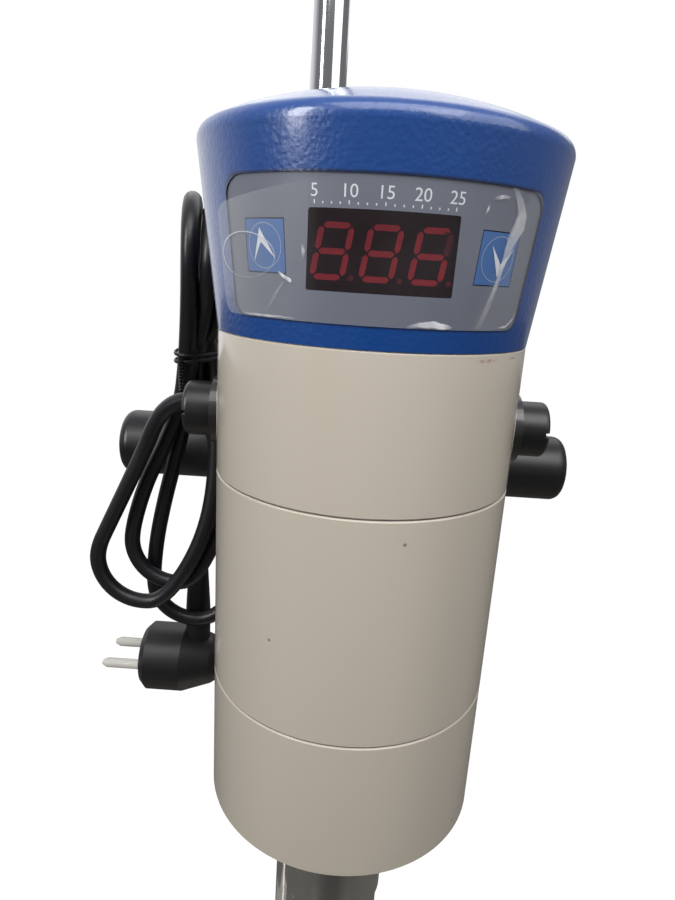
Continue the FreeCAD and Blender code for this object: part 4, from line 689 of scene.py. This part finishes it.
def filmMaterial(creaseHighlights, pressedRingHighlight):  # a milky veil with a painted sheen right of the main crease, painted highlights along its creases, edges and glints, and a painted highlight on a ring where it was pressed
    material, where, shader = newMaterial("clearFilm", Roughness=0.18, Coat_Weight=0.6, Coat_Roughness=0.05)
    x, y, z = where.parts()
    across, rise = x.maths('ARCTAN2', x, y * -1.0) * panelEdge["radius"], z * 1000.0
    wobble = (noise(where, 260.0, 3.0) - 0.5) * 0.9
    rags = noise(where, 420.0, 3.0) * 0.5 + 0.72

    def crease(along, aside, stops, nearest):  # one ramp holds the place, width and brightness of a painted highlight
        first, last = stops[0][0], stops[-1][0]
        ramp = along.node("ShaderNodeValToRGB", {"Fac": (along - first) * (1 / (last - first))},
                          stops=[((a - first) / (last - first), ((b - nearest) / 100, width / 4, bright, 1))
                                 for a, b, width, bright in stops])
        middle, width, bright = ramp.parts()
        inside = along.above(min(first, last), 0.3) * (1 - along.above(max(first, last), 0.3))
        off = abs(aside + wobble - (middle * 100.0 + nearest))
        plateau = off.maths('MINIMUM', (1 - off / (width * 4.0)) * 2.4, 1.0).most(0.0)
        return plateau * bright * inside

    # painted highlights: the creases, edges and glints of the film and its pressed ring show as bright opaque
    # lines, brighter on one side of the ring
    glow = None
    for along, aside, nearest in (("rise", across, -50.0), ("across", rise, 450.0)):
        for stops in creaseHighlights[along]:
            line = crease(rise if along == "rise" else across, aside, stops, nearest)
            glow = line if glow is None else glow.most(line)
    wide = (across - pressedRingHighlight["across"]) * (1 / pressedRingHighlight["wide"])
    tall = (rise - pressedRingHighlight["rise"]) * (1 / pressedRingHighlight["tall"])
    ring = (1 - abs((wide * wide + tall * tall) ** 0.5 - 1.0) * (1 / pressedRingHighlight["line"])).most(0.0)
    glow = glow.most(ring * ((tall - wide).above(0.1, 1.3) * 0.6 + 0.3)) * rags
    # painted sheen: the veil is denser right of the main crease, where the film is tilted another way
    veil = (noise(where, 40.0, 3.0) * 0.035 + (1 - across.above(*filmSizes["veilLeft"])) * 0.20
            + (across - rise * filmSizes["sheenSlant"] + filmSizes["sheenEdge"]).above(0.0, 1.5) * 0.09)
    feed(shader, "Base Color", noise(where, 300.0).mixed((0.76, 0.78, 0.82), (0.90, 0.91, 0.93)))
    feed(shader, "Alpha", veil.most(glow))
    bumped(shader, glow + wobble, 0.3, 0.0006)
    return material


def makeFilm(sizes):  # a sheet that reaches past the panel's left end, its upper left corner cut off aslant
    left, right, bottom, top = sizes["left"], sizes["right"], sizes["low"], sizes["high"]
    bpy.ops.mesh.primitive_plane_add(size=1, rotation=(math.pi / 2, 0, 0),
                                     location=((left + right) / 2, 0, (bottom + top) / 2))
    film = bpy.context.object
    film.scale = (right - left, top - bottom, 1)
    bpy.ops.object.transform_apply(location=True, rotation=True, scale=True)
    bpy.ops.object.mode_set(mode='EDIT')
    bpy.ops.mesh.select_all(action='SELECT')
    bpy.ops.mesh.bisect(plane_co=(left, 0, sizes["slantFoot"]), plane_no=(-sizes["slant"], 0, 1),
                        clear_outer=True)
    bpy.ops.mesh.select_all(action='SELECT')
    bpy.ops.mesh.bevel(offset=sizes["corner"], segments=8, affect='VERTICES')
    for i in range(1, sizes["cuts"]):
        bpy.ops.mesh.select_all(action='SELECT')
        bpy.ops.mesh.bisect(plane_co=(left + (right - left) * i / sizes["cuts"], 0, 0), plane_no=(1, 0, 0))
    finishFlat(film, "clearFilm", -sizes["outwards"], filmMaterial(filmCreaseHighlights, filmRingHighlight))

makeFilm(filmSizes)
print("panel print and film ready")
